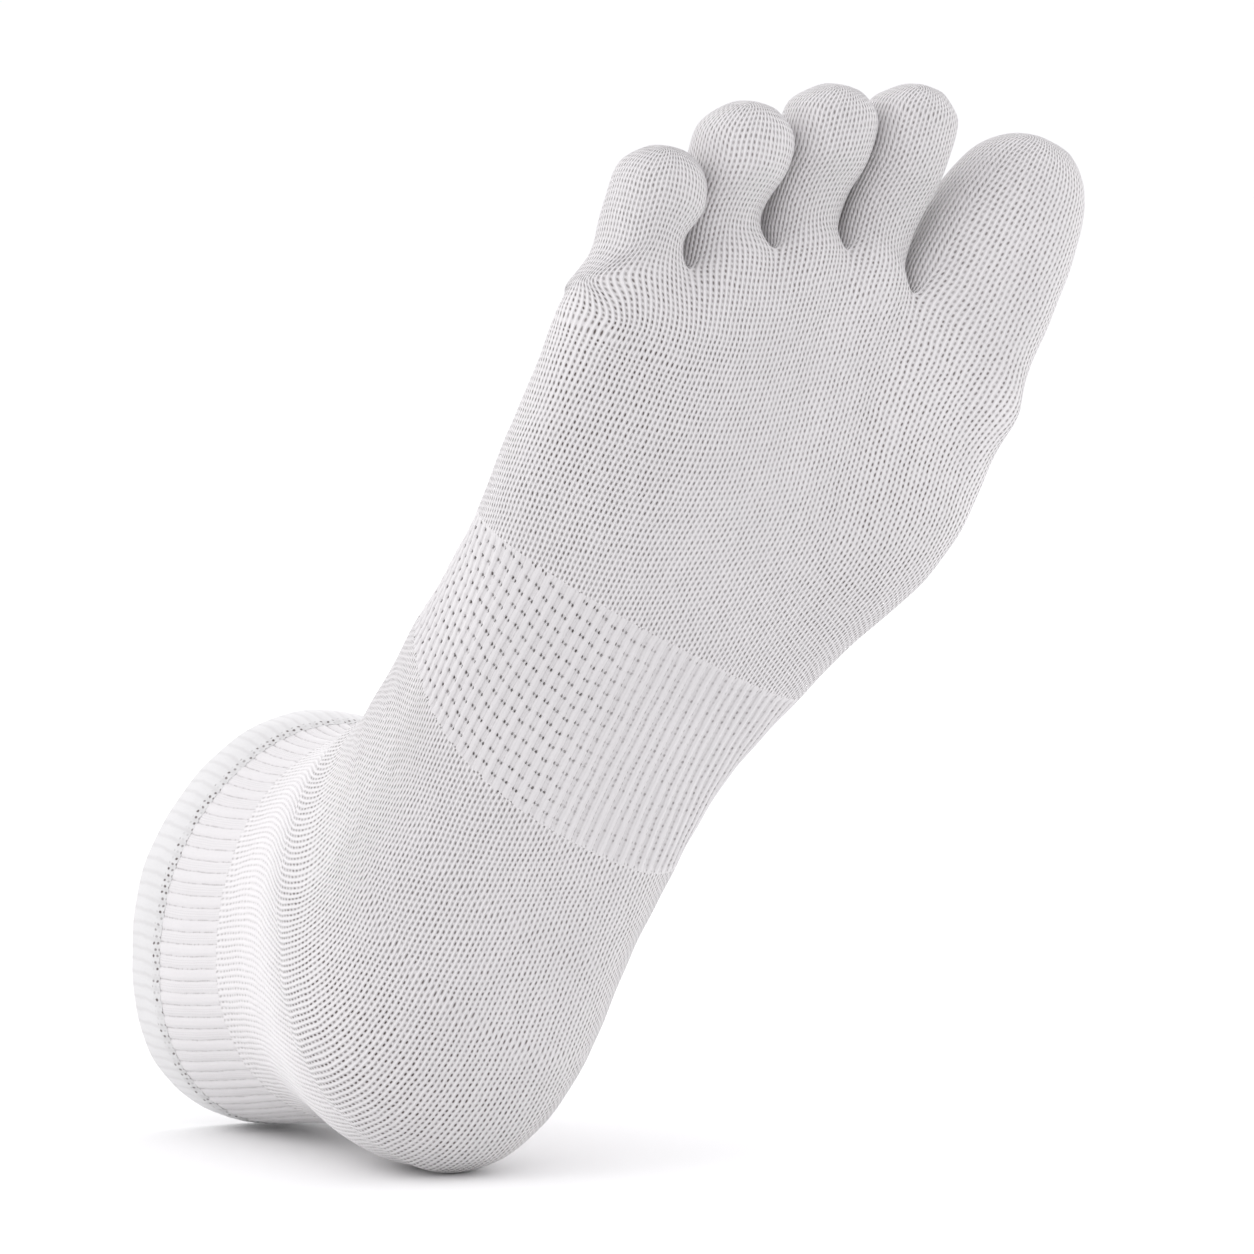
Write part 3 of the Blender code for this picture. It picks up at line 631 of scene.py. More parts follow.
def refine(points, faces, coords):
    """One smooth subdivision of a mesh of four-sided faces and of its corner coordinates."""
    count = len(points)
    after = np.roll(faces, -1, 1)
    keys = np.minimum(faces, after) * count + np.maximum(faces, after)
    unique, edge = np.unique(keys, return_inverse=True)
    edge = edge.reshape(keys.shape)
    ends = np.stack([unique // count, unique % count], 1)
    shared = np.bincount(edge.ravel(), minlength=len(unique)) == 2
    middles = points[ends].mean(1)
    centres = points[faces].mean(1)
    around = np.bincount(faces.ravel(), minlength=count)
    edges = middles.copy()
    moved = points.copy()
    n = np.maximum(around, 1)
    for axis in range(3):
        spread = np.repeat(centres[:, axis], 4)
        beside = np.bincount(edge.ravel(), spread, len(unique))
        edges[shared, axis] = middles[shared, axis] / 2 + beside[shared] / 4
        face_sum = np.bincount(faces.ravel(), spread, count) / n
        edge_sum = np.bincount(ends.ravel(), np.repeat(middles[:, axis], 2), count)
        moved[:, axis] = (face_sum + 2 * edge_sum / n + (n - 3) * points[:, axis]) / n
    rim = ends[~shared]
    on_rim = np.unique(rim)
    for axis in range(3):
        summed = np.bincount(rim.ravel(), np.repeat(middles[~shared, axis], 2), count)
        moved[on_rim, axis] = points[on_rim, axis] / 2 + summed[on_rim] / 4
    made = np.concatenate([moved, edges, centres])
    edge = edge + count
    middle = np.arange(len(faces)) + count + len(unique)
    new_faces = np.stack([np.stack([
        faces[:, corner], edge[:, corner], middle, edge[:, corner - 1],
    ], 1) for corner in range(4)], 1).reshape(-1, 4)
    half = (coords + np.roll(coords, -1, 1)) / 2
    centre = coords.mean(1)
    new_coords = np.stack([np.stack([
        coords[:, corner], half[:, corner], centre, half[:, corner - 1],
    ], 1) for corner in range(4)], 1).reshape(-1, 4, 2)
    return made, new_faces, new_coords


def inflated(points, faces, rounds=2):
    """The cage swelled a little, so that its smooth surface passes through its points."""
    swelled = points.copy()
    for _ in range(rounds):
        swelled += points - limit_points(swelled, faces)
    return swelled


def spline_weights(places, count, closed):
    """Weights of evenly spaced controls of a smooth cubic curve, and their slopes."""
    base = np.floor(places).astype(int)
    if not closed:
        base = np.clip(base, 0, count - 2)
    t = places - base
    values = ((1 - t) ** 3 / 6, (3 * t ** 3 - 6 * t * t + 4) / 6, (-3 * t ** 3 + 3 * t * t + 3 * t + 1) / 6, t ** 3 / 6)
    matrix = np.zeros((len(places), count))
    rows = np.arange(len(places))
    for step, value in enumerate(values):
        at = base - 1 + step
        if closed:
            np.add.at(matrix, (rows, at % count), value)
            continue
        low = at < 0
        high = at > count - 1
        inside = ~(low | high)
        np.add.at(matrix, (rows[inside], at[inside]), value[inside])
        np.add.at(matrix, (rows[low], 0), 2 * value[low])
        np.add.at(matrix, (rows[low], 1), -value[low])
        np.add.at(matrix, (rows[high], count - 1), 2 * value[high])
        np.add.at(matrix, (rows[high], count - 2), -value[high])
    return matrix


def grid_normals(grid):
    """Outward unit normals of a grid of points that closes on itself across its columns."""
    down = np.gradient(grid, axis=0)
    across = np.roll(grid, -1, 1) - np.roll(grid, 1, 1)
    normals = np.cross(across, down)
    return normals / np.linalg.norm(normals, axis=2, keepdims=True)


def bilinear(values, across, down):
    """A table of values read between its rows and columns."""
    row = np.clip(np.floor(down).astype(int), 0, values.shape[0] - 2)
    column = np.clip(np.floor(across).astype(int), 0, values.shape[1] - 2)
    v = down - row
    u = across - column
    upper = values[row, column] * (1 - u) + values[row, column + 1] * u
    lower = values[row + 1, column] * (1 - u) + values[row + 1, column + 1] * u
    return upper * (1 - v) + lower * v


def eased(values, low, high):
    """Eased step from 0 at low to 1 at high."""
    share = np.clip((values - low) / (high - low), 0, 1)
    return share * share * (3 - 2 * share)


def course_tables(cage, rings):
    """Courses counted along every column of the tube: down the leg, and along the foot."""
    points = np.array(cage.points)
    grid = points[np.array(rings)]
    grid = np.concatenate([grid, grid[:, :1]], 1)
    steps = np.linalg.norm(np.diff(grid, axis=0), axis=2)
    down = np.concatenate([np.zeros((1, RING + 1)), np.cumsum(steps, 0)])
    return down / COURSE, (down - down[BAND_RING]) / COURSE + FOOT_START


def toe_tables(cage, foot):
    """Courses along every column of each toe, and on over its tip."""
    points = np.array(cage.points)
    tables = {}
    for index, (name, rings) in enumerate(cage.toe_rings.items()):
        count = SEGMENTS[index]
        start = toe_starts()[index]
        grid = points[np.array(rings)]
        size = grid.shape[1]
        sole = foot[-1, start:start + count + 1]
        top = foot[-1, [(RING - start - step) % RING for step in range(count, -1, -1)]]
        side = np.linspace(0, 1, SIDE_SEGMENTS + 1)
        first = np.concatenate([
            sole[:-1],
            (sole[-1] * (1 - side) + top[0] * side)[:-1],
            top[:-1],
            (top[-1] * (1 - side) + sole[0] * side)[:-1],
        ])
        steps = np.linalg.norm(np.diff(grid, axis=0), axis=2) / COURSE
        values = np.concatenate([first[None], first[None] + np.cumsum(steps, 0)])
        tables[name] = np.concatenate([values, values[:, :1]], 1)
        rise = (TOE_HEIGHT * 0.9 / COURSE) * np.arange(SIDE_SEGMENTS + 1) / SIDE_SEGMENTS
        tables[name + "_tip"] = tables[name][-1, :count + 1][None] + rise[:, None]
    return tables


class Look:
    """Points, normals, faces and knit coordinates of one piece as they are gathered."""

    def __init__(self, name):
        self.name = name
        self.points = []
        self.normals = []
        self.faces = []
        self.knit = []
        self.open = []
        self.count = 0

    def add(self, points, normals, faces, knit, openness_with_shade):
        used, faces = np.unique(faces, return_inverse=True)
        faces = faces.reshape(-1, 4)
        self.points.append(points[used])
        self.normals.append(normals[used])
        self.open.append(openness_with_shade[used])
        self.faces.append(faces + self.count)
        self.knit.append(knit)
        self.count += len(used)

    def add_walls(self, points, normals, faces, knit, wall):
        """Short walls that close the piece's edges inwards by the cloth's thickness."""
        edges = border(faces)
        size = len(points)
        both = np.concatenate([points, points - normals * wall])
        out = np.concatenate([normals, normals])
        walls = np.stack([edges[:, 1], edges[:, 0], edges[:, 0] + size, edges[:, 1] + size], 1)
        self.add(both, out, walls, np.zeros((len(walls), 4, 2)), np.zeros(2 * size))

    def build(self, material):
        mesh = bpy.data.meshes.new(self.name + "_cloth")
        points = np.concatenate(self.points) @ TURN.T + SHIFT
        normals = np.concatenate(self.normals) @ TURN.T
        faces = np.concatenate(self.faces)
        knit = np.concatenate(self.knit).reshape(-1, 2)
        mesh.from_pydata(points.tolist(), [], faces.tolist())
        layer = mesh.uv_layers.new(name="knit")
        layer.data.foreach_set("uv", knit.astype(np.float32).ravel())
        opened = mesh.attributes.new("open", "FLOAT", "POINT")
        opened.data.foreach_set("value", np.concatenate(self.open).astype(np.float32))
        mesh.shade_smooth()
        mesh.normals_split_custom_set_from_vertices(normals.tolist())
        mesh.materials.append(material)
        thing = bpy.data.objects.new(self.name + "_cloth", mesh)
        bpy.context.collection.objects.link(thing)
        return thing


def noise(points, size, seed):
    """Soft bumps from sums of waves, between about -1 and 1."""
    made = np.random.default_rng(seed)
    total = np.zeros(points.shape[:-1])
    for _ in range(7):
        way = made.normal(size=3)
        way *= 2 * math.pi / size / np.linalg.norm(way) * made.uniform(0.6, 1.4)
        total += np.sin(points @ way + made.uniform(0, 2 * math.pi))
    return total / math.sqrt(7)


def rib_wave(turns, sharp):
    """Rounded ribs with a narrow groove at every whole turn: 0 in the groove, 1 on the rib."""
    return 1 - (0.5 + 0.5 * np.cos(2 * math.pi * turns)) ** sharp


def tube_grid(controls, rows, columns):
    """The sock's smooth surface read at ring places and places round the ring."""
    down = spline_weights(rows, len(controls), False)
    across = spline_weights(columns, RING, True)
    return np.einsum("ai,ijc,bj->abc", down, controls, across)


def grid_faces(rows, columns, keep):
    """Faces of a grid whose columns close on themselves, with the places of their corners."""
    high, wide = len(rows), len(columns)
    row, column = np.meshgrid(np.arange(high - 1), np.arange(wide), indexing="ij")
    after = (column + 1) % wide
    faces = np.stack([
        row * wide + column, row * wide + after, (row + 1) * wide + after, (row + 1) * wide + column,
    ], 2).reshape(-1, 4)
    step = RING / wide
    left = columns[column]
    top, low = rows[row], rows[row + 1]
    coords = np.stack([
        np.stack([left, top], 2), np.stack([left + step, top], 2),
        np.stack([left + step, low], 2), np.stack([left, low], 2),
    ], 2).reshape(-1, 4, 2)
    kept = keep(coords.mean(1))
    return faces[kept], coords[kept]


def soft_form(points):
    """Small dents and swells that worn cloth has."""
    return 0.00022 * noise(points, 0.034, 3) + 0.00007 * noise(points, 0.011, 5)


def leg_relief(points, row, column):
    """Height of the cuff's ribs and of the crease at the heel's gore line."""
    ribs = rib_wave(column * CUFF_RIBS / RING, 3)
    lower = 0.5 - 0.5 * np.cos(math.pi * column * CUFF_RIBS / RING + math.pi / 2)
    ribbed = eased(row, RIB_END + 0.25, RIB_END - 0.1) * eased(row, RIB_RING - 0.1, RIB_RING + 0.1)
    height = ribbed * 0.6 * RIB_DEPTH * (ribs - 1 - 0.25 * lower)
    sole = eased(np.minimum(column, HALF_RING - column), 0.5, 3) * (column < HALF_RING)
    back = eased(np.minimum(column, HALF_RING - column), 4, 12)
    crease = np.exp(-((row - GORE_RING) / 0.50) ** 2) * sole * (0.55 + 0.45 * back)
    return height - 0.0013 * crease + soft_form(points)


def band_weight(column):
    """How much of the band's mesh there is here: all on the lateral side and the top."""
    turned = np.where(column > RING / 2 + 8, column - RING, column)
    return eased(turned, MESH_END + 3, MESH_END - 5) * eased(turned, -17, -12)


def band_holes(ribs, courses, weight):
    """How deep a hole of the band's mesh is: two in each groove, in rows."""
    groove = ribs - np.round(ribs)
    row = courses * COURSE / MESH_PITCH + 0.12 * np.sin(2.4 * np.round(ribs))
    along = (row - np.floor(row) - 0.5) * MESH_PITCH / BAND_PITCH
    depth = np.zeros(np.shape(ribs))
    for place in (-HOLE_PLACE, HOLE_PLACE):
        distance = np.sqrt(((groove - place) / 0.10) ** 2 + (along / 0.15) ** 2)
        depth = np.maximum(depth, eased(distance, 1.25, 0.3))
    return depth * weight


def band_relief(points, row, column, courses):
    """Height of the band: ribs along the foot, flatter and pierced where it is mesh."""
    ribs = column * BAND_RIBS / RING
    weight = band_weight(column)
    inside = eased(row, BAND_RING, BAND_RING + 0.12) * eased(row, FORE_RING, FORE_RING - 0.12)
    wave = rib_wave(ribs, 1.6) - 1
    height = inside * 0.00060 * (1 - 0.20 * weight) * wave
    cross = 0.5 - 0.5 * np.cos(2 * math.pi * courses * COURSE / MESH_PITCH)
    height -= inside * 0.00010 * weight * (1 - cross)
    height -= inside * 0.00050 * band_holes(ribs, courses, weight)
    return height + soft_form(points)


def stitch_openness_and_shade(column, row):
    """How open the stitches are over the leg and foot, which also sets how much painted shade goes into their holes.
    The heel and the sides of the ball get more, as painted shade for how the light falls there; the middle of the ball
    and the leg get less.
    """
    sole = (column < HALF_RING) * 1.0
    middle = np.exp(-((column - HALF_RING / 2) / 6.0) ** 2) * sole
    ball = np.exp(-((row - 22.5) / 2.2) ** 2)
    heel = np.exp(-((row - 11) / 2.5) ** 2) * sole
    leg = eased(row, GORE_RING + 1.4, GORE_RING - 1.6)
    fade = eased(row, RIB_END - 1, GORE_RING)
    whole = 0.85 + 0.25 * heel + 0.25 * (1 - middle) * ball - 0.12 * middle * ball
    return whole * (1 - leg) + (0.50 - 0.20 * fade) * leg


def leg_pieces(controls, leg, foot, materials):
    """Ankle and heel pocket."""
    rows = np.arange(RIB_END * FINE, BAND_RING * FINE + 1) / FINE
    columns = np.arange(RING * FINE) / FINE
    beyond = np.concatenate([[rows[0] - 0.02], rows, [rows[-1] + 0.02]])
    base = tube_grid(controls, beyond, columns)
    normals = grid_normals(base)
    row, column = np.meshgrid(beyond, columns, indexing="ij")
    points = base + normals * leg_relief(base, row, column)[..., None]
    normals = grid_normals(points)[1:-1].reshape(-1, 3)
    points = points[1:-1].reshape(-1, 3)
    openness_with_shade = stitch_openness_and_shade(column, row)[1:-1].ravel()
    pieces = {}
    for name in ("ankle", "heel_pocket"):
        def keep(centre, name=name):
            pocket = (centre[:, 0] < HALF_RING) & (centre[:, 1] > HEEL_RING) & (centre[:, 1] < INSTEP_RING)
            return pocket == (name == "heel_pocket")
        look = Look(name)
        faces, coords = grid_faces(rows, columns, keep)
        look.add(points, normals, faces, knit_places(coords, leg, foot), openness_with_shade)
        look.add_walls(points, normals, faces, None, KNIT_WALL)
        add_lining(look, controls, rows[::FINE // 2], keep, KNIT_WALL)
        pieces[name] = look
    return pieces


def knit_places(coords, leg, foot):
    """Wales and courses at the corners of faces of the tube."""
    column, row = coords[..., 0], coords[..., 1]
    on_leg = (coords[..., 1].mean(1) < GORE_RING)[:, None]
    courses = np.where(on_leg, bilinear(leg, column, row), bilinear(foot, column, row))
    wales = np.where(on_leg, 2 * CUFF_RIBS / RING, WALES)
    return np.stack([column * wales, courses], -1)


def add_lining(look, controls, rows, keep, wall):
    """The inner face of the cloth, more coarsely divided."""
    columns = np.arange(RING * 2) / 2
    grid = tube_grid(controls, rows, columns)
    normals = grid_normals(grid)
    inner = (grid - normals * wall).reshape(-1, 3)
    faces, coords = grid_faces(rows, columns, keep)
    look.add(inner, -normals.reshape(-1, 3), faces[:, ::-1], coords[:, ::-1] * WALES, np.full(len(inner), 0.4))


def rib_piece(controls, leg):
    """The ribbed part of the cuff."""
    rows = np.linspace(RIB_RING, RIB_END, 33)
    columns = np.arange(CUFF_RIBS * 10) * RING / (CUFF_RIBS * 10)
    beyond = np.concatenate([[rows[0] - 0.02], rows, [rows[-1] + 0.02]])
    base = tube_grid(controls, beyond, columns)
    normals = grid_normals(base)
    row, column = np.meshgrid(beyond, columns, indexing="ij")
    points = base + normals * leg_relief(base, row, column)[..., None]
    normals = grid_normals(points)[1:-1].reshape(-1, 3)
    points = points[1:-1].reshape(-1, 3)
    look = Look("cuff_rib")
    faces, coords = grid_faces(rows, columns, lambda centre: centre[:, 0] >= 0)
    knit = np.stack([coords[..., 0] * CUFF_RIBS / RING, bilinear(leg, coords[..., 0], coords[..., 1])], -1)
    look.add(points, normals, faces, knit, np.ones(len(points)))
    look.add_walls(points, normals, faces, None, KNIT_WALL)
    add_lining(look, controls, np.linspace(RIB_RING, RIB_END, 5), lambda centre: centre[:, 0] >= 0, KNIT_WALL + RIB_DEPTH)
    return look


def band_piece(controls, foot):
    """The arch band."""
    rows = np.linspace(BAND_RING, FORE_RING, 113)
    columns = np.arange(BAND_RIBS * 9) * RING / (BAND_RIBS * 9)
    beyond = np.concatenate([[rows[0] - 0.02], rows, [rows[-1] + 0.02]])
    base = tube_grid(controls, beyond, columns)
    normals = grid_normals(base)
    row, column = np.meshgrid(beyond, columns, indexing="ij")
    courses = bilinear(foot, column, row)
    points = base + normals * band_relief(base, row, column, courses)[..., None]
    normals = grid_normals(points)[1:-1].reshape(-1, 3)
    points = points[1:-1].reshape(-1, 3)
    weight = band_weight(column)[1:-1].ravel()
    look = Look("arch_band")
    faces, coords = grid_faces(rows, columns, lambda centre: centre[:, 0] >= 0)
    knit = np.stack([coords[..., 0] * BAND_RIBS / RING, bilinear(foot, coords[..., 0], coords[..., 1])], -1)
    look.add(points, normals, faces, knit, weight)
    look.add_walls(points, normals, faces, None, BAND_WALL)
    add_lining(look, controls, np.linspace(BAND_RING, FORE_RING, 7), lambda centre: centre[:, 0] >= 0, BAND_WALL)
    return look


def welt_piece(controls, leg):
    """The folded hem: outer face, the round at the rim and the inner face."""
    columns = np.arange(CUFF_RIBS * 8) * RING / (CUFF_RIBS * 8)
    outer = np.linspace(RIB_RING, 0, 25)
    lines = [(row, None) for row in outer]
    turns = np.linspace(0, math.pi, 13)[1:-1]
    lines += [(0.0, turn) for turn in turns]
    inner = np.linspace(0, RIB_RING, 9)
    lines += [(row, "inner") for row in inner]
    rows = np.array([row for row, _ in lines])
    base = tube_grid(controls, rows, columns)
    frame_rows = np.linspace(0, RIB_RING, 9)
    fine = tube_grid(controls, frame_rows, columns)
    fine_normals = grid_normals(fine)
    column = np.broadcast_to(columns, base.shape[:2])
    ribs = rib_wave(column * CUFF_RIBS / RING, 1.0)
    points = np.empty_like(base)
    half = WELT_WALL / 2
    for index, (row, kind) in enumerate(lines):
        place = row / RIB_RING * (len(frame_rows) - 1)
        left = min(int(place), len(frame_rows) - 2)
        normal = fine_normals[left] * (1 - place + left) + fine_normals[left + 1] * (place - left)
        share = row / RIB_RING
        swell = WELT_SWELL * (1 - 0.9 * eased(share, 0.86, 1.0)) + 0.0002 * np.sin(math.pi * min(share * 1.1, 1))
        swell = swell + 0.00013 * (ribs[index] - 1) * (0.4 + 0.6 * share)
        if kind is None:
            lift = swell[:, None] * normal
        elif isinstance(kind, str):
            lift = (WELT_SWELL - WELT_WALL) * normal
        else:
            lift = (WELT_SWELL - half + half * math.cos(kind)) * normal + np.array([0, 0, half * math.sin(kind)])
        points[index] = base[index] + lift + normal * soft_form(base[index])[:, None]
    points = points[::-1]
    count = len(lines)
    normals = grid_normals(points).reshape(-1, 3)
    arc = np.linalg.norm(np.diff(points, axis=0), axis=2).mean(1)
    courses = np.concatenate([[0], np.cumsum(arc)]) / COURSE
    courses = courses[-1] - courses
    look = Look("cuff_welt")
    faces, coords = grid_faces(np.arange(count), columns, lambda centre: centre[:, 0] >= 0)
    down = courses[coords[..., 1].astype(int)]
    knit = np.stack([coords[..., 0] * CUFF_RIBS / RING, down], -1)
    points = points.reshape(-1, 3)
    look.add(points, normals, faces, knit, np.ones(len(points)))
    look.add_walls(points, normals, faces, None, KNIT_WALL)
    return look


def front_relief(points, normals):
    """Small form of the forefoot and toes."""
    return soft_form(points)


def front_pieces(cage, points, tables):
    """Forefoot and toes, subdivided together so that they run into each other."""
    zones = np.array(cage.zones)
    charts = np.array(cage.charts)
    faces = np.array(cage.faces)
    coords = np.array(cage.coords, float)
    front = ["forefoot", *TOE_SEGMENTS]
    chosen = np.isin(zones, front) | ((charts == "tube") & (coords[:, 0, 1] >= FORE_RING - 2))
    zones, charts, faces, coords = zones[chosen], charts[chosen], faces[chosen], coords[chosen]
    used, faces = np.unique(faces, return_inverse=True)
    faces = faces.reshape(-1, 4)
    points = points[used]
    coarse = None
    for level in range(LEVELS):
        points, faces, coords = refine(points, faces, coords)
        zones = np.repeat(zones, 4)
        charts = np.repeat(charts, 4)
        if level == 0:
            coarse = limit_points(points, faces), faces, coords, zones
    points = limit_points(points, faces)
    normals = point_normals(points, faces)
    points = points + normals * front_relief(points, normals)[:, None]
    normals = point_normals(points, faces)
    inner_points, inner_faces, inner_coords, inner_zones = coarse
    inner_normals = point_normals(inner_points, inner_faces)
    knit = np.zeros((len(faces), 4, 2))
    for chart in np.unique(charts):
        here = charts == chart
        values = tables["foot" if chart == "tube" else chart]
        knit[here, :, 0] = coords[here, :, 0] * WALES
        knit[here, :, 1] = bilinear(values, coords[here, :, 0], coords[here, :, 1])
    # The toes get a fixed, lower share: less painted shade in their stitch holes than on the ball, so they look more
    # lit
    openness_with_shade = np.full(len(points), 0.78)
    in_tube = charts == "tube"
    openness_with_shade[faces[in_tube].ravel()] = stitch_openness_and_shade(coords[in_tube, :, 0].ravel(), coords[in_tube, :, 1].ravel())
    pieces = {}
    for name in front:
        look = Look(name)
        here = zones == name
        look.add(points, normals, faces[here], knit[here], openness_with_shade)
        look.add_walls(points, normals, faces[here], None, KNIT_WALL)
        within = inner_zones == name
        shrunk = inner_points - inner_normals * KNIT_WALL
        look.add(shrunk, -inner_normals, inner_faces[within][:, ::-1], inner_coords[within][:, ::-1] * WALES, np.full(len(shrunk), 0.4))
        pieces[name] = look
    return pieces


class Graph:
    """A material's nodes, built by small steps."""

    def __init__(self, name):
        self.material = bpy.data.materials.new(name)
        self.material.use_nodes = True
        self.tree = self.material.node_tree
        self.surface = self.tree.nodes["Principled BSDF"]

    def put(self, socket, value):
        if isinstance(value, bpy.types.NodeSocket):
            self.tree.links.new(value, socket)
        else:
            socket.default_value = value

    def math(self, operation, *values):
        node = self.tree.nodes.new("ShaderNodeMath")
        node.operation = operation
        for socket, value in zip(node.inputs, values):
            self.put(socket, value)
        return node.outputs[0]

    def ramp(self, value, low, high, start=0.0, end=1.0):
        node = self.tree.nodes.new("ShaderNodeMapRange")
        node.interpolation_type = "SMOOTHSTEP"
        for name, given in (("Value", value), ("From Min", low), ("From Max", high), ("To Min", start), ("To Max", end)):
            self.put(node.inputs[name], given)
        return node.outputs["Result"]

    def noise(self, vector, scale, detail=2.0):
        node = self.tree.nodes.new("ShaderNodeTexNoise")
        self.put(node.inputs["Vector"], vector)
        node.inputs["Scale"].default_value = scale
        node.inputs["Detail"].default_value = detail
        return node.outputs[0]

    def mix(self, share, first, second):
        node = self.tree.nodes.new("ShaderNodeMix")
        node.data_type = "RGBA"
        self.put(node.inputs["Factor"], share)
        for socket, value in ((node.inputs[6], first), (node.inputs[7], second)):
            self.put(socket, value)
        return node.outputs[2]

    def random(self, first, second):
        join = self.tree.nodes.new("ShaderNodeCombineXYZ")
        self.put(join.inputs[0], first)
        self.put(join.inputs[1], second)
        node = self.tree.nodes.new("ShaderNodeTexWhiteNoise")
        node.noise_dimensions = "2D"
        self.put(node.inputs["Vector"], join.outputs[0])
        return node.outputs["Value"]

    def knit(self):
        """Wales or ribs, and courses, from the piece's knit coordinates."""
        places = self.tree.nodes.new("ShaderNodeUVMap")
        places.uv_map = "knit"
        parts = self.tree.nodes.new("ShaderNodeSeparateXYZ")
        self.tree.links.new(places.outputs[0], parts.inputs[0])
        return parts.outputs[0], parts.outputs[1]

    def value(self, name):
        node = self.tree.nodes.new("ShaderNodeAttribute")
        node.attribute_name = name
        return node.outputs["Fac"]

    def place(self):
        return self.tree.nodes.new("ShaderNodeTexCoord").outputs["Object"]


def lattice(graph, across, along, half_wide, half_long, drop):
    """Distance from the middle of the nearest stitch hole, and that hole's random share."""
    column = graph.math("FLOOR", across)
    beside = graph.math("SUBTRACT", graph.math("SUBTRACT", across, column), 0.5)
    dropped = graph.math("ADD", along, graph.math("MULTIPLY", column, drop))
    row = graph.math("FLOOR", dropped)
    up = graph.math("SUBTRACT", graph.math("SUBTRACT", dropped, row), 0.5)
    random = graph.random(column, row)
    wide = graph.math("DIVIDE", beside, half_wide)
    tall = graph.math("DIVIDE", up, half_long)
    distance = graph.math("SQRT", graph.math("ADD", graph.math("MULTIPLY", wide, wide), graph.math("MULTIPLY", tall, tall)))
    return distance, random, beside, up


def finish_cloth(graph, colour, dark, height, depth):
    """Colour and relief of knitted cotton from a share of painted shade and a height."""
    place = graph.place()
    tone = graph.ramp(graph.noise(place, 45.0, 3.0), 0.3, 0.7)
    light = tuple(channel * 1.015 for channel in colour)
    base = graph.mix(tone, (*[channel * 0.985 for channel in colour], 1.0), (*light, 1.0))
    speck = graph.ramp(graph.noise(place, 1500.0, 2.0), 0.35, 0.75, 0.0, 0.10)
    base = graph.mix(speck, base, (*[channel * 0.80 for channel in colour], 1.0))
    # Painted shade: the share of dark draws the colour towards the hole shade colour
    shaded = graph.mix(dark, base, (*HOLE_SHADE_COLOUR, 1.0))
    graph.put(graph.surface.inputs["Base Color"], shaded)
    graph.surface.inputs["Roughness"].default_value = 0.92
    graph.surface.inputs["Specular IOR Level"].default_value = 0.25
    graph.surface.inputs["Sheen Weight"].default_value = 0.45
    graph.surface.inputs["Sheen Roughness"].default_value = 0.5
    fuzz = graph.math("MULTIPLY", graph.noise(place, 2600.0, 3.0), 0.35)
    bump = graph.tree.nodes.new("ShaderNodeBump")
    bump.inputs["Strength"].default_value = 1.0
    bump.inputs["Distance"].default_value = depth
    graph.put(bump.inputs["Height"], graph.math("ADD", height, fuzz))
    graph.put(graph.surface.inputs["Normal"], bump.outputs[0])
    return graph.material


def wobbled(graph, across, along, amount):
    """The knit coordinates with small irregularities."""
    place = graph.place()
    first = graph.math("MULTIPLY", graph.math("SUBTRACT", graph.noise(place, 210.0, 2.0), 0.5), amount)
    second = graph.math("MULTIPLY", graph.math("SUBTRACT", graph.noise(place, 170.0, 2.0), 0.5), amount)
    return graph.math("ADD", across, first), graph.math("ADD", along, second)


def plain_knit(name, colour):
    """Plain knit: a half-drop lattice of stitch holes filled with painted shade, with fainter painted shade in the
    groove along each line of holes.
    """
    graph = Graph(name)
    across, along = wobbled(graph, *graph.knit(), 0.55)
    distance, random, beside, up = lattice(graph, across, along, 0.23, 0.42, 0.5)
    # Painted shade in each stitch hole, scaled by the open attribute and a random share per hole, and fainter painted
    # shade along the groove
    hole = graph.ramp(distance, 1.15, 0.35)
    strength = graph.math("MULTIPLY", graph.value("open"), graph.ramp(random, 0.0, 1.0, 0.62, 1.0))
    aside = graph.math("ABSOLUTE", beside)
    groove = graph.math("MULTIPLY", graph.math("MULTIPLY", graph.ramp(aside, 0.34, 0.0), 0.16), graph.value("open"))
    dark = graph.math("MAXIMUM", graph.math("MULTIPLY", hole, strength), groove)
    ridge = graph.math("MULTIPLY", graph.ramp(aside, 0.02, 0.46), 0.65)
    height = graph.math("ADD", ridge, graph.math("MULTIPLY", graph.ramp(distance, 0.2, 1.6), 0.5))
    height = graph.math("MULTIPLY", height, graph.ramp(graph.value("open"), 0.2, 0.9, 0.35, 1.0))
    return finish_cloth(graph, colour, dark, height, 0.00030)


def rib_knit(name, colour):
    """Ribs of the cuff: a fine dotted line of painted shade in each groove, and faint stitches on every other rib,
    drawn as painted shade in their gaps.
    """
    graph = Graph(name)
    across, along = wobbled(graph, *graph.knit(), 0.16)
    shifted = graph.math("ADD", across, 0.5)
    fine = graph.math("MULTIPLY", along, 1.9)
    distance, random, _, _ = lattice(graph, shifted, fine, 0.085, 0.55, 0.5)
    # Painted shade: dark dots along each groove, and faint dark specks on every other rib
    dots = graph.math("MULTIPLY", graph.ramp(distance, 1.2, 0.3), graph.ramp(random, 0.0, 1.0, 0.12, 0.42))
    second, other, _, _ = lattice(graph, graph.math("MULTIPLY", across, 5.0), fine, 0.3, 0.35, 0.5)
    half = graph.math("MULTIPLY", across, 0.5)
    saw = graph.math("SUBTRACT", half, graph.math("FLOOR", half))
    turned = graph.math("ABSOLUTE", graph.math("SUBTRACT", saw, 0.25))
    every_other = graph.ramp(turned, 0.17, 0.08)
    specks = graph.math("MULTIPLY", graph.ramp(second, 1.0, 0.3), graph.math("MULTIPLY", every_other, 0.2))
    dark = graph.math("MAXIMUM", dots, specks)
    height = graph.math("SUBTRACT", 1.0, graph.math("ADD", dots, specks))
    return finish_cloth(graph, colour, dark, height, 0.00015)


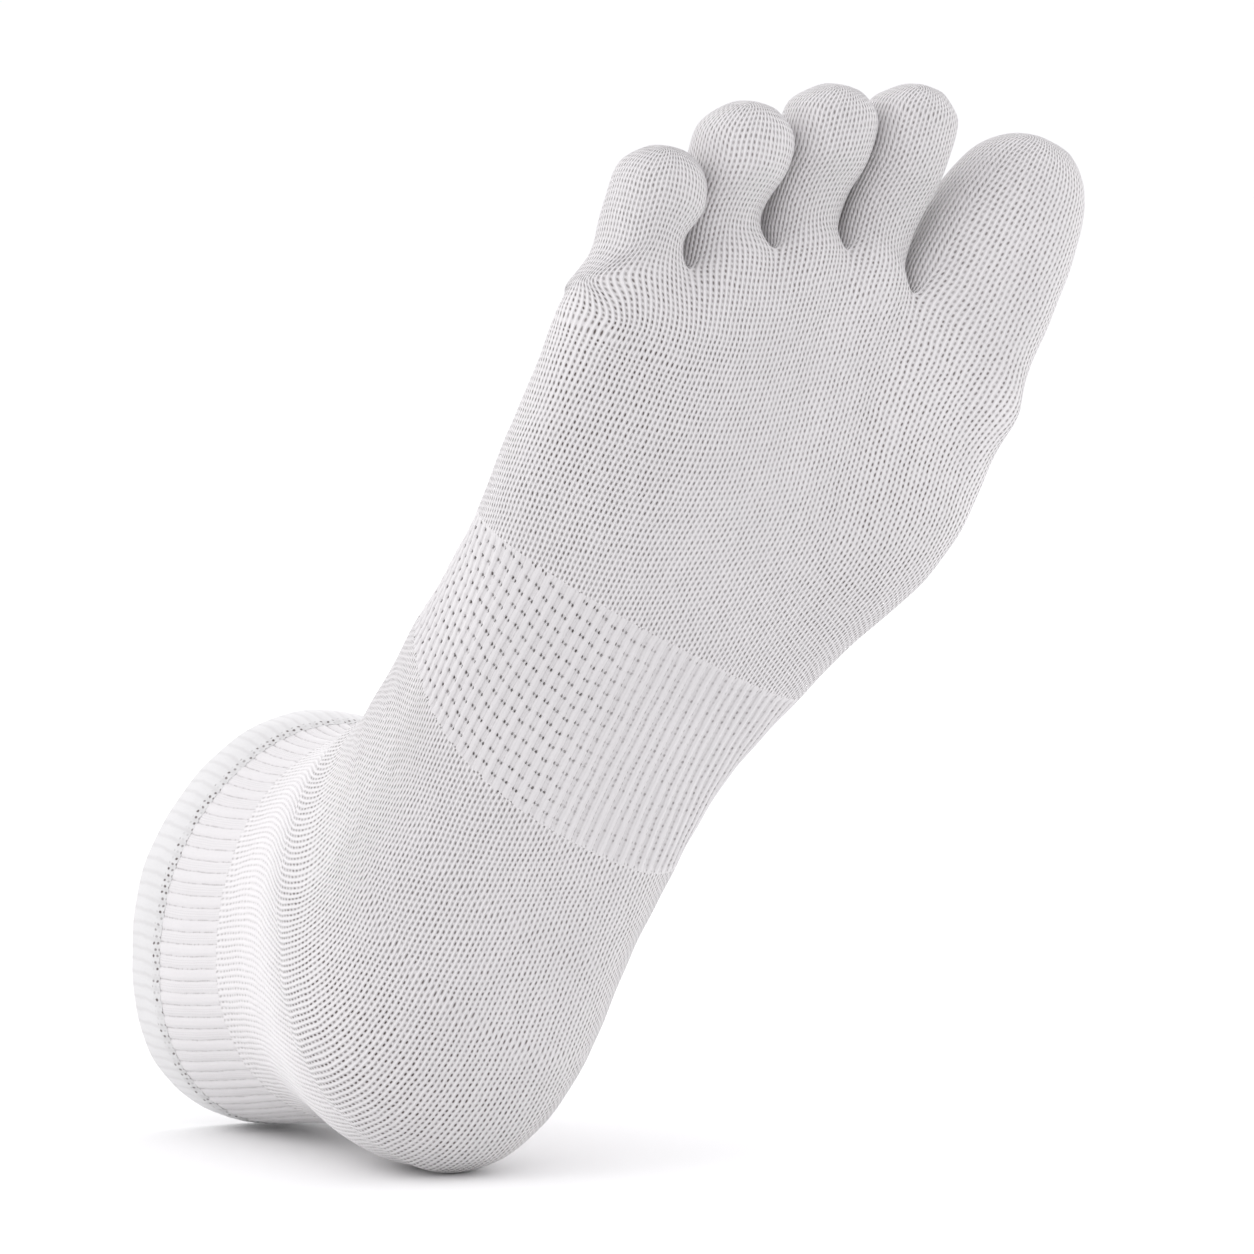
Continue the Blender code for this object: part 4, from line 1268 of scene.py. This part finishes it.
def band_knit(name, colour):
    """The arch band: dotted double lines of painted shade between ribs, and rows of holes with painted shade in them
    where it is mesh.
    """
    graph = Graph(name)
    across, along = graph.knit()
    mesh = graph.value("open")
    across, along = wobbled(graph, across, along, 0.22)
    shifted = graph.math("ADD", across, 0.5)
    column = graph.math("FLOOR", shifted)
    groove = graph.math("SUBTRACT", graph.math("SUBTRACT", shifted, column), 0.5)
    aside = graph.math("SUBTRACT", graph.math("ABSOLUTE", groove), HOLE_PLACE)
    wide = graph.math("DIVIDE", aside, 0.085)
    share = graph.math("MULTIPLY", along, COURSE / MESH_PITCH)
    wave = graph.math("MULTIPLY", graph.math("SINE", graph.math("MULTIPLY", column, 2.4)), 0.12)
    big = graph.math("ADD", share, wave)
    big_row = graph.math("FLOOR", big)
    up = graph.math("DIVIDE", graph.math("SUBTRACT", graph.math("SUBTRACT", big, big_row), 0.5), 0.15 * BAND_PITCH / MESH_PITCH)
    distance = graph.math("SQRT", graph.math("ADD", graph.math("MULTIPLY", wide, wide), graph.math("MULTIPLY", up, up)))
    side = graph.math("SIGN", groove)
    chance = graph.random(graph.math("ADD", graph.math("MULTIPLY", column, 2.0), side), big_row)
    # Painted shade in the mesh holes, where the open attribute is high
    holes = graph.math("MULTIPLY", graph.ramp(distance, 1.2, 0.35), graph.ramp(chance, 0.0, 1.0, 0.6, 1.0))
    holes = graph.math("MULTIPLY", holes, mesh)
    small_row = graph.math("FLOOR", along)
    small_up = graph.math("DIVIDE", graph.math("SUBTRACT", graph.math("SUBTRACT", along, small_row), 0.5), 0.34)
    near = graph.math("SQRT", graph.math("ADD", graph.math("MULTIPLY", wide, wide), graph.math("MULTIPLY", small_up, small_up)))
    luck = graph.random(graph.math("ADD", graph.math("MULTIPLY", column, 2.0), side), small_row)
    dots = graph.math("MULTIPLY", graph.ramp(near, 1.15, 0.3), graph.ramp(luck, 0.0, 1.0, 0.15, 0.55))
    dots = graph.math("MULTIPLY", dots, graph.ramp(mesh, 0.0, 1.0, 1.0, 0.4))
    # Painted shade along the groove edges, and faint painted shade between the strands
    lines = graph.math("MULTIPLY", graph.ramp(graph.math("ABSOLUTE", aside), 0.10, 0.0), 0.16)
    plain = graph.math("SUBTRACT", graph.math("SUBTRACT", graph.math("MULTIPLY", across, 2.5), graph.math("FLOOR", graph.math("MULTIPLY", across, 2.5))), 0.5)
    strands = graph.math("MULTIPLY", graph.ramp(graph.math("ABSOLUTE", plain), 0.25, 0.0), 0.07)
    dark = graph.math("MAXIMUM", graph.math("MAXIMUM", holes, dots), graph.math("MAXIMUM", lines, strands))
    height = graph.math("SUBTRACT", 1.0, dark)
    return finish_cloth(graph, colour, dark, height, 0.00030)


def welt_knit(name, colour, hem):
    """The folded hem: smooth, with faint ribs drawn as lines of painted shade, and a double row of stitches at its
    lower edge with painted shade in their gaps.
    """
    graph = Graph(name)
    across, along = wobbled(graph, *graph.knit(), 0.45)
    distance, random, _, _ = lattice(graph, graph.math("MULTIPLY", across, 2.0), along, 0.28, 0.4, 0.5)
    rows = graph.ramp(graph.math("ABSOLUTE", graph.math("SUBTRACT", along, hem)), 1.25, 0.7)
    stitches = graph.math("MULTIPLY", graph.ramp(distance, 1.1, 0.35), graph.ramp(random, 0.0, 1.0, 0.1, 1.0))
    # Painted shade in the hem's stitch gaps and in faint lines between the ribs
    dark = graph.math("MULTIPLY", stitches, rows)
    shifted = graph.math("ADD", across, 0.5)
    line, _, _, _ = lattice(graph, shifted, graph.math("MULTIPLY", along, 0.8), 0.10, 4.0, 0.0)
    faint = graph.math("MULTIPLY", graph.ramp(line, 2.6, 0.3), 0.10)
    dark = graph.math("MAXIMUM", dark, faint)
    height = graph.math("SUBTRACT", 1.0, dark)
    return finish_cloth(graph, colour, dark, height, 0.00012)


def add_stage(floor_height):
    """A pale floor, soft light and the camera."""
    mesh = bpy.data.meshes.new("floor")
    reach = 30.0
    corners = [(-reach, -reach), (reach, -reach), (reach, reach), (-reach, reach)]
    mesh.from_pydata([(x, y, floor_height) for x, y in corners], [], [(0, 1, 2, 3)])
    floor = bpy.data.objects.new("floor", mesh)
    bpy.context.collection.objects.link(floor)
    paint = bpy.data.materials.new("pale_floor")
    paint.use_nodes = True
    surface = paint.node_tree.nodes["Principled BSDF"]
    surface.inputs["Base Color"].default_value = (0.90, 0.90, 0.90, 1.0)
    surface.inputs["Roughness"].default_value = 0.9
    surface.inputs["Specular IOR Level"].default_value = 0.1
    mesh.materials.append(paint)
    floor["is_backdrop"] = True

    scene = bpy.context.scene
    world = bpy.data.worlds.new("studio")
    scene.world = world
    world.use_nodes = True
    sky = world.node_tree.nodes["Background"]
    sky.inputs["Color"].default_value = (0.985, 0.98, 1.0, 1.0)
    sky.inputs["Strength"].default_value = WORLD_LIGHT

    azimuth, elevation = math.radians(-30), math.radians(6)
    back = Vector((
        math.sin(azimuth) * math.cos(elevation),
        -math.cos(azimuth) * math.cos(elevation),
        math.sin(elevation),
    ))
    right = Vector((math.cos(azimuth), math.sin(azimuth), 0.0))
    up = back.cross(right)
    aim = Vector((0.0329, -0.0794, 0.0647)) + right * 0.0046 + up * 0.0027
    lens = bpy.data.cameras.new("camera")
    lens.lens = 410
    lens.sensor_width = 36
    lens.clip_start = 0.1
    lens.clip_end = 100
    camera = bpy.data.objects.new("camera", lens)
    bpy.context.collection.objects.link(camera)
    turn = Matrix((right, up, back)).transposed()
    camera.matrix_world = Matrix.Translation(aim + back * 3.0) @ turn.to_4x4()
    scene.camera = camera

    for name, way, distance, size, energy, colour in LIGHTS:
        lamp = bpy.data.lights.new(name, "AREA")
        lamp.shape = "DISK"
        lamp.size = size
        lamp.energy = energy
        lamp.color = colour
        light = bpy.data.objects.new(name, lamp)
        bpy.context.collection.objects.link(light)
        direction = (right * way[0] + up * way[1] + back * way[2]).normalized()
        light.matrix_world = Matrix.Translation(aim + direction * distance) @ direction.to_track_quat("Z", "Y").to_matrix().to_4x4()
    scene.view_settings.view_transform = "Standard"
    scene.view_settings.look = "None"


def build():
    """The dressed sock and its stage."""
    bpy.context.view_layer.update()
    cage = Cage()
    rings = add_tube(cage)
    webs = add_webs(cage, rings[-1])
    add_toes(cage, rings[-1], webs)
    leg, foot = course_tables(cage, rings)
    tables = {"foot": foot, **toe_tables(cage, foot)}
    smoothed = inflated(np.array(cage.points), np.array(cage.faces))
    controls = smoothed[np.array(rings)]

    plain = plain_knit("body_knit", BODY_COLOUR)
    materials = {
        "cuff_rib": rib_knit("cuff_rib_knit", BAND_COLOUR),
        "arch_band": band_knit("arch_band_knit", BAND_COLOUR),
    }
    looks = leg_pieces(controls, leg, foot, materials)
    looks["cuff_rib"] = rib_piece(controls, leg)
    looks["arch_band"] = band_piece(controls, foot)
    looks["cuff_welt"] = welt_piece(controls, leg)
    hem = float(np.concatenate(looks["cuff_welt"].knit)[..., 1].min())
    materials["cuff_welt"] = welt_knit("cuff_welt_knit", WELT_COLOUR, hem + 0.9)
    looks.update(front_pieces(cage, smoothed, tables))
    for name, look in looks.items():
        thing = look.build(materials.get(name, plain))
        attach(thing, "root")
        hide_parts(name)
    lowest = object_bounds()[0][2]
    add_stage(lowest)


build()
